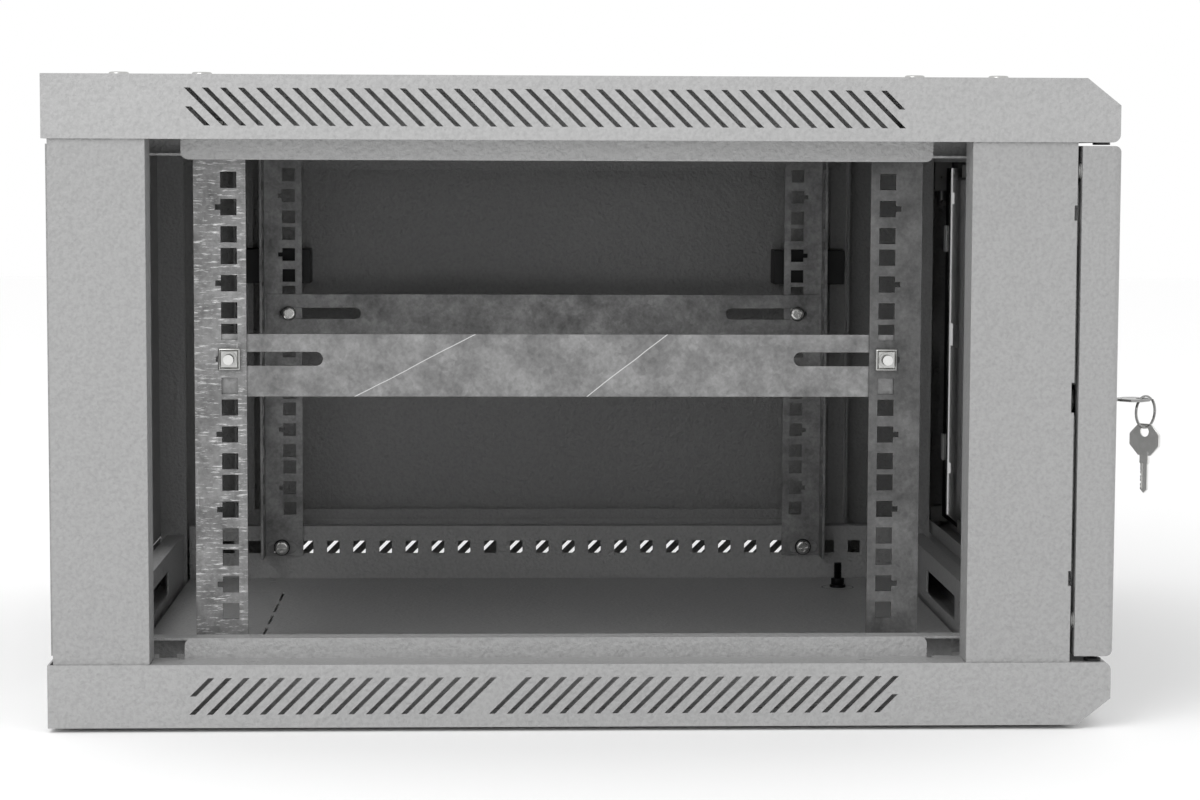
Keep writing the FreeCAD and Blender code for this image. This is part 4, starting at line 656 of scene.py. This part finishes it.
def key_head():
    """The cornered head with its sunk panels and eye."""
    k = KEY
    head = add_cube((k["wide"], k["long"], k["thick"]), (0, k["edge"] - k["long"] / 2, 0))
    corners = head.modifiers.new("corners", "BEVEL")
    corners.width = k["corner"]
    corners.segments = 1
    corners.limit_method = "WEIGHT"
    weights = head.data.attributes.new("bevel_weight_edge", "FLOAT", "EDGE")
    for edge in head.data.edges:
        ends = [head.data.vertices[index].co for index in edge.vertices]
        upright = abs(ends[0].z - ends[1].z) > k["thick"] / 2
        weights.data[edge.index].value = 1.0 if upright else 0.0
    apply_modifiers(head)
    bevel(head, k["soft"], angle=HEAD_ANGLE)
    big = (k["wide"] / 2) ** 2
    sink(head, lambda face: abs(face.normal.z) > LEVEL and face.area > big, k["rim"], -k["sunk"])
    return carve(head, add_round(k["eye"] / 2, -k["thick"], k["thick"], ROUND_STEPS))


def key_blade(root):
    """The toothed and grooved blade below a level of the head."""
    k = KEY
    start, end = root + k["edge"] / 2, root - k["reach"]
    blade = add_cube((k["blade"], start - end, k["thick"] * BLADE_THIN), (0, (start + end) / 2, 0))
    diamond = (0, 0, math.pi / 4)
    for side in (-1, 1):
        carve(blade, add_cube((k["tip"] * 2, k["tip"] * 2, k["thick"] * 2),
                              (side * k["blade"] / 2, end, 0), diamond))
    for along, deep in TEETH:
        wide = CUTTER_PAST + deep
        carve(blade, add_cube((wide, wide, k["thick"] * 2),
                              (k["blade"] / 2 + wide * DIAMOND - deep,
                               root - k["shoulder"] - along, 0), diamond))
    long = k["reach"] * GROOVE_LONG
    for face in (-1, 1):
        carve(blade, add_cube((k["blade"] * GROOVE_WIDE, long, k["thick"] * GROOVE_CUTTER),
                              (k["blade"] * GROOVE_ASIDE, root - long / 2 - GROOVE_DOWN,
                               face * k["thick"] * GROOVE_OUT)))
    return blade


def key_model():
    """A flat steel key: cornered head with a sunk panel, milled groove, cut teeth, blunt tip."""
    k = KEY
    root = k["edge"] - k["long"]
    head = key_head()
    blade = key_blade(root)
    collar = add_cube((k["collar"], k["shoulder"] + k["edge"] / 2, k["thick"] * COLLAR_THIN),
                      (0, root - (k["shoulder"] - k["edge"] / 2) / 2, 0))
    carve(head, bevel(collar, k["collar"] * COLLAR_EDGE, 1, RIM_ANGLE), "UNION")
    carve(head, blade, "UNION")
    return smooth(bevel(head, k["burr"], 1, BURR_ANGLE))


# ---------------------------------------------------------------- placing
# turn of a set's first screw, and from each one to the next, in radians
SPIN_START = 0.5
SPIN_STEP = 0.7


def aim(direction):
    """Rotation that turns +Z to a direction, as a 4 by 4 matrix."""
    return Vector((0, 0, 1)).rotation_difference(Vector(direction)).to_matrix().to_4x4()


def placed(model, matrix, name):
    """A copy of a model, with its own mesh, put in its place."""
    copy = bpy.data.objects.new(name, model.data.copy())
    copy.data.transform(matrix)
    bpy.context.collection.objects.link(copy)
    return copy


def inward_x(point):
    return -1 if point.x > 0 else 1


def outward_x(point):
    return 1 if point.x > 0 else -1


def always(sign):
    return lambda point: sign


def fit_set(node, axis, out_sign, make, finish, seat_back=0.0, spun=True):
    """Replace every solid of a node by a model whose seat faces away from its outer end.

    make builds the model from the solid's length along the axis; seat_back is how far the
    seat lies behind that end.
    """
    boxes = islands(node)
    low, high = boxes[0]
    model = make((high - low)[axis])
    items = []
    for number, (low, high) in enumerate(boxes):
        middle = (low + high) / 2
        sign = out_sign(middle)
        seat = middle.copy()
        seat[axis] = high[axis] - seat_back if sign > 0 else low[axis] + seat_back
        direction = [0, 0, 0]
        direction[axis] = sign
        turn = SPIN_START + SPIN_STEP * number if spun else 0
        items.append(placed(model, Matrix.Translation(seat) @ aim(direction)
                            @ Matrix.Rotation(turn, 4, "Z"), "%s_%d" % (node, number)))
    bpy.data.objects.remove(model)
    whole = join(items, node + "_detailed")
    coat(whole, finish)
    stand_for(whole, node)


# ---------------------------------------------------------------- operators
# node, axis, the way the heads face, head width, head height and shank in mm, finish
SCREWS = (
    ("roof_screws", Z, always(1), 12, 2.6, 6, "zinc_plate"),
    ("base_screws", Z, always(-1), 12, 2.6, 6, "zinc_plate"),
    ("rail_screws", X, inward_x, 11, 3.6, 6, "bright_zinc"),
    ("bar_screws", X, inward_x, 11, 3.6, 6, "bright_zinc"),
    ("cross_screws", X, inward_x, 9, 3, 5, "bright_zinc"),
    ("post_screws", X, inward_x, 9, 3, 5, "bright_zinc"),
    ("rear_panel_screws", Y, always(1), 9, 1.5, 5, "zinc_plate"),
    ("cam_screw", Y, always(1), 9, 3, 5, "zinc_plate"),
)
NUT_BORE = 6.2 * MM
NUT_SEAT = 4.5 * MM
# node and side of each set of square nuts
SQUARE_NUTS = (("rail_nuts", 11 * MM), ("cage_nuts", 13 * MM))
RAIL_WASHER, RAIL_WASHER_SEAT = 12.4 * MM, 1.2 * MM
# the ground stud: its size, the foot under the washer, the washer's width and height, the nut's
STUD, STUD_FOOT = 6 * MM, 1.5 * MM
STUD_WASHER, STUD_WASHER_TALL = 12 * MM, 2 * MM
STUD_NUT, STUD_NUT_TALL = 10 * MM, 5 * MM
# the split ring's wire, the share of it that is left, how far it is flattened, and its turns
RING_WIRE, RING_SLIM, RING_SQUASH, RING_TURNS = 1.2 * MM, 0.92, 0.5, 2
SPRING_WIRE, SPRING_TURNS = 0.8 * MM, 6
# a bumper's flange and pad: radii, the shares of its height where the flange ends and the
# pad starts, the flange's rounding, and the pad's as a share of the height
FLANGE_RADIUS, FLANGE_TOP, FLANGE_EDGE = 4.75 * MM, 0.6, 0.2 * MM
PAD_RADIUS, PAD_FOOT, PAD_DOME = 3.9 * MM, 0.9, 0.45


class CABINET_OT_sheet_metal(bpy.types.Operator):
    """Pressed sheet parts, rails and small turned parts with eased edges"""

    bl_idname = "cabinet.sheet_metal"
    bl_label = "Sheet metal"

    def execute(self, context):
        for node, (finish, ease) in FINISHES.items():
            item = merged_copy(node, node + "_finished")
            ease_edges(item, ease * MM)
            coat(item, finish)
            stand_for(item, node)
        return {"FINISHED"}


class CABINET_OT_screws(bpy.types.Operator):
    """Pan-head screws with cross recesses and threads"""

    bl_idname = "cabinet.screws"
    bl_label = "Screws"

    def execute(self, context):
        for node, axis, out_sign, head, tall, shank, finish in SCREWS:
            fit_set(node, axis, out_sign,
                    lambda length: screw_model(head * MM, tall * MM, shank * MM,
                                               length - tall * MM),
                    finish, tall * MM)
        return {"FINISHED"}


class CABINET_OT_nuts(bpy.types.Operator):
    """Washers, square nuts, cage nuts and the ground stud"""

    bl_idname = "cabinet.nuts"
    bl_label = "Nuts and washers"

    def execute(self, context):
        fit_set("rail_washers", X, inward_x,
                lambda tall: washer_model(RAIL_WASHER, NUT_BORE, tall),
                "black_zinc", RAIL_WASHER_SEAT)
        for node, side in SQUARE_NUTS:
            fit_set(node, X, outward_x, lambda tall: square_nut_model(side, NUT_BORE, tall),
                    "zinc_plate", NUT_SEAT, False)
        self.ground_stud()
        return {"FINISHED"}

    def ground_stud(self):
        low, high = islands("ground_stud")[0]
        middle = (low + high) / 2
        washer = washer_model(STUD_WASHER, STUD, STUD_WASHER_TALL)
        washer.data.transform(Matrix.Translation((0, 0, STUD_FOOT)))
        nut = hex_nut_model(STUD_NUT, STUD, STUD_NUT_TALL)
        nut.data.transform(Matrix.Translation((0, 0, STUD_FOOT + STUD_WASHER_TALL)))
        whole = join([threaded(STUD, 0, high.z - low.z), washer, nut], "ground_stud_detailed")
        whole.data.transform(Matrix.Translation((middle.x, middle.y, low.z)))
        coat(whole, "black_zinc")
        stand_for(whole, "ground_stud")


class CABINET_OT_keys(bpy.types.Operator):
    """Both keys and the split ring between them"""

    bl_idname = "cabinet.keys"
    bl_label = "Keys and ring"

    def execute(self, context):
        low, high = islands("key_ring")[0]
        span = high - low
        axle = Vector((RING_WIRE - span.y, RING_WIRE - span.x, 0)).normalized()
        model = key_model()
        self.lock_key(model)
        self.spare_key(model, axle)
        bpy.data.objects.remove(model)
        self.split_ring((low + high) / 2, span.z, axle)
        return {"FINISHED"}

    def lock_key(self, model):
        """The key in the lock: head out, blade in."""
        low, high = islands("key")[0]
        middle = (low + high) / 2
        item = placed(model, Matrix.Translation((middle.x, low.y + KEY["edge"], middle.z))
                      @ Matrix.Rotation(math.pi, 4, "Z"), "key_detailed")
        coat(item, "nickel_plate")
        stand_for(item, "key")

    def spare_key(self, model, axle):
        """The key that hangs from the ring, its face across the ring's axle."""
        low, high = islands("spare_key")[0]
        middle = (low + high) / 2
        up = Vector((0, 0, 1))
        turn = Matrix((-axle, up, up.cross(axle))).transposed().to_4x4()
        item = placed(model, Matrix.Translation((middle.x, middle.y, high.z - KEY["edge"]))
                      @ turn, "spare_key_detailed")
        coat(item, "bright_zinc")
        stand_for(item, "spare_key")

    def split_ring(self, middle, wide, axle):
        """Two flattened turns of wire, one on the other."""
        ring = coil_model(RING_WIRE * RING_SLIM, RING_SQUASH, wide / 2 - RING_WIRE / 2,
                          RING_WIRE / 2, RING_TURNS)
        ring.data.transform(Matrix.Translation((0, 0, -RING_WIRE / 2)))
        ring.data.transform(Matrix.Translation(middle) @ aim(axle))
        ring.name = "key_ring_detailed"
        coat(ring, "nickel_plate")
        stand_for(ring, "key_ring")


class CABINET_OT_door_fittings(bpy.types.Operator):
    """Hinge spring and door bumpers"""

    bl_idname = "cabinet.door_fittings"
    bl_label = "Door fittings"

    def execute(self, context):
        low, high = islands("hinge_spring")[0]
        middle = (low + high) / 2
        tall = high.z - low.z - SPRING_WIRE
        spring = coil_model(SPRING_WIRE, 1, (high.y - low.y - SPRING_WIRE) / 2,
                            tall / SPRING_TURNS, SPRING_TURNS)
        spring.data.transform(Matrix.Translation((middle.x, middle.y, low.z + SPRING_WIRE / 2)))
        spring.name = "hinge_spring_detailed"
        coat(spring, "bright_zinc")
        stand_for(spring, "hinge_spring")
        fit_set("door_bumpers", Y, always(1), self.bumper, "grey_rubber")
        return {"FINISHED"}

    def bumper(self, tall):
        """A moulded button: a thin flange with a domed pad on it."""
        flange = bevel(add_round(FLANGE_RADIUS, -tall, -tall * FLANGE_TOP, ROUND_STEPS),
                       FLANGE_EDGE)
        pad = bevel(add_round(PAD_RADIUS, -tall * PAD_FOOT, 0, ROUND_STEPS),
                    tall * PAD_DOME, DOME_STEPS, RIM_ANGLE)
        return smooth(join([flange, pad], "bumper"))


# ---------------------------------------------------------------- stage
FLOOR_WIDE = 12
FLOOR_COLOUR = "FDFDFD"
SENSOR = 36
# the large soft light: its place, the point it faces and its width, in metres
LIGHT_PLACE, LIGHT_TARGET, LIGHT_WIDE = (-1.6, 0.7, 1.5), (0, -0.25, 0.1), 1.4


class CABINET_OT_stage(bpy.types.Operator):
    """Pale floor, soft studio light and the camera"""

    bl_idname = "cabinet.stage"
    bl_label = "Stage"

    def execute(self, context):
        stage = context.scene.cabinet_stage
        self.floor()
        self.light(context, stage)
        self.camera(context, stage)
        context.scene.view_settings.view_transform = "Standard"
        return {"FINISHED"}

    def floor(self):
        bpy.ops.object.select_all(action="DESELECT")
        bpy.ops.mesh.primitive_plane_add(size=FLOOR_WIDE, location=(0, 0, CAD_BOX[0][Z]))
        floor = bpy.context.object
        floor.name = "studio_floor"
        # matt white paper
        tree, shader = blank("studio_floor")[:2]
        feed(tree, shader, {"Base Color": linear(FLOOR_COLOUR), "Roughness": 0.9})
        coat(floor, "studio_floor")

    def light(self, context, stage):
        """A white surround, and one large lamp high up on the open side."""
        world = bpy.data.worlds.new("surround")
        world.use_nodes = True
        back = world.node_tree.nodes["Background"]
        back.inputs["Color"].default_value = (1, 1, 1, 1)
        back.inputs["Strength"].default_value = stage.sky
        context.scene.world = world
        data = bpy.data.lights.new("key_light", "AREA")
        data.energy = stage.key_light
        data.size = LIGHT_WIDE
        lamp = bpy.data.objects.new("key_light", data)
        context.collection.objects.link(lamp)
        lamp.location = LIGHT_PLACE
        facing = Vector(LIGHT_TARGET) - Vector(LIGHT_PLACE)
        lamp.rotation_euler = facing.to_track_quat("-Z", "Y").to_euler()

    def camera(self, context, stage):
        gaze = Vector(stage.gaze).normalized()
        right = gaze.cross(Vector((0, 0, 1))).normalized()
        up = right.cross(gaze)
        turned = right * math.cos(stage.roll) + up * math.sin(stage.roll)
        above = up * math.cos(stage.roll) - right * math.sin(stage.roll)
        data = bpy.data.cameras.new("camera")
        data.lens = stage.lens
        data.sensor_width = SENSOR
        item = bpy.data.objects.new("camera", data)
        context.collection.objects.link(item)
        turn = Matrix((turned, above, -gaze)).transposed().to_4x4()
        item.matrix_world = Matrix.Translation(Vector(stage.eye)) @ turn
        context.scene.camera = item


# ---------------------------------------------------------------- add-on
PIECES = ("sheet_metal", "screws", "nuts", "keys", "door_fittings", "stage")


class CABINET_PT_panel(bpy.types.Panel):
    """Lists the cabinet's operators"""

    bl_idname = "CABINET_PT_panel"
    bl_label = "Cabinet"
    bl_space_type = "VIEW_3D"
    bl_region_type = "UI"
    bl_category = "Cabinet"

    def draw(self, context):
        for name in PIECES:
            self.layout.operator("cabinet." + name)


CLASSES = (CabinetFinish, CabinetStage, CABINET_OT_sheet_metal, CABINET_OT_screws,
           CABINET_OT_nuts, CABINET_OT_keys, CABINET_OT_door_fittings, CABINET_OT_stage,
           CABINET_PT_panel)


def register():
    for item in CLASSES:
        bpy.utils.register_class(item)
    bpy.types.Scene.cabinet_finish = bpy.props.PointerProperty(type=CabinetFinish)
    bpy.types.Scene.cabinet_stage = bpy.props.PointerProperty(type=CabinetStage)


def unregister():
    del bpy.types.Scene.cabinet_stage
    del bpy.types.Scene.cabinet_finish
    for item in reversed(CLASSES):
        bpy.utils.unregister_class(item)


def main():
    register()
    make_materials(bpy.context.scene.cabinet_finish)
    for name in PIECES:
        getattr(bpy.ops.cabinet, name)()


if __name__ == "__main__":
    main()
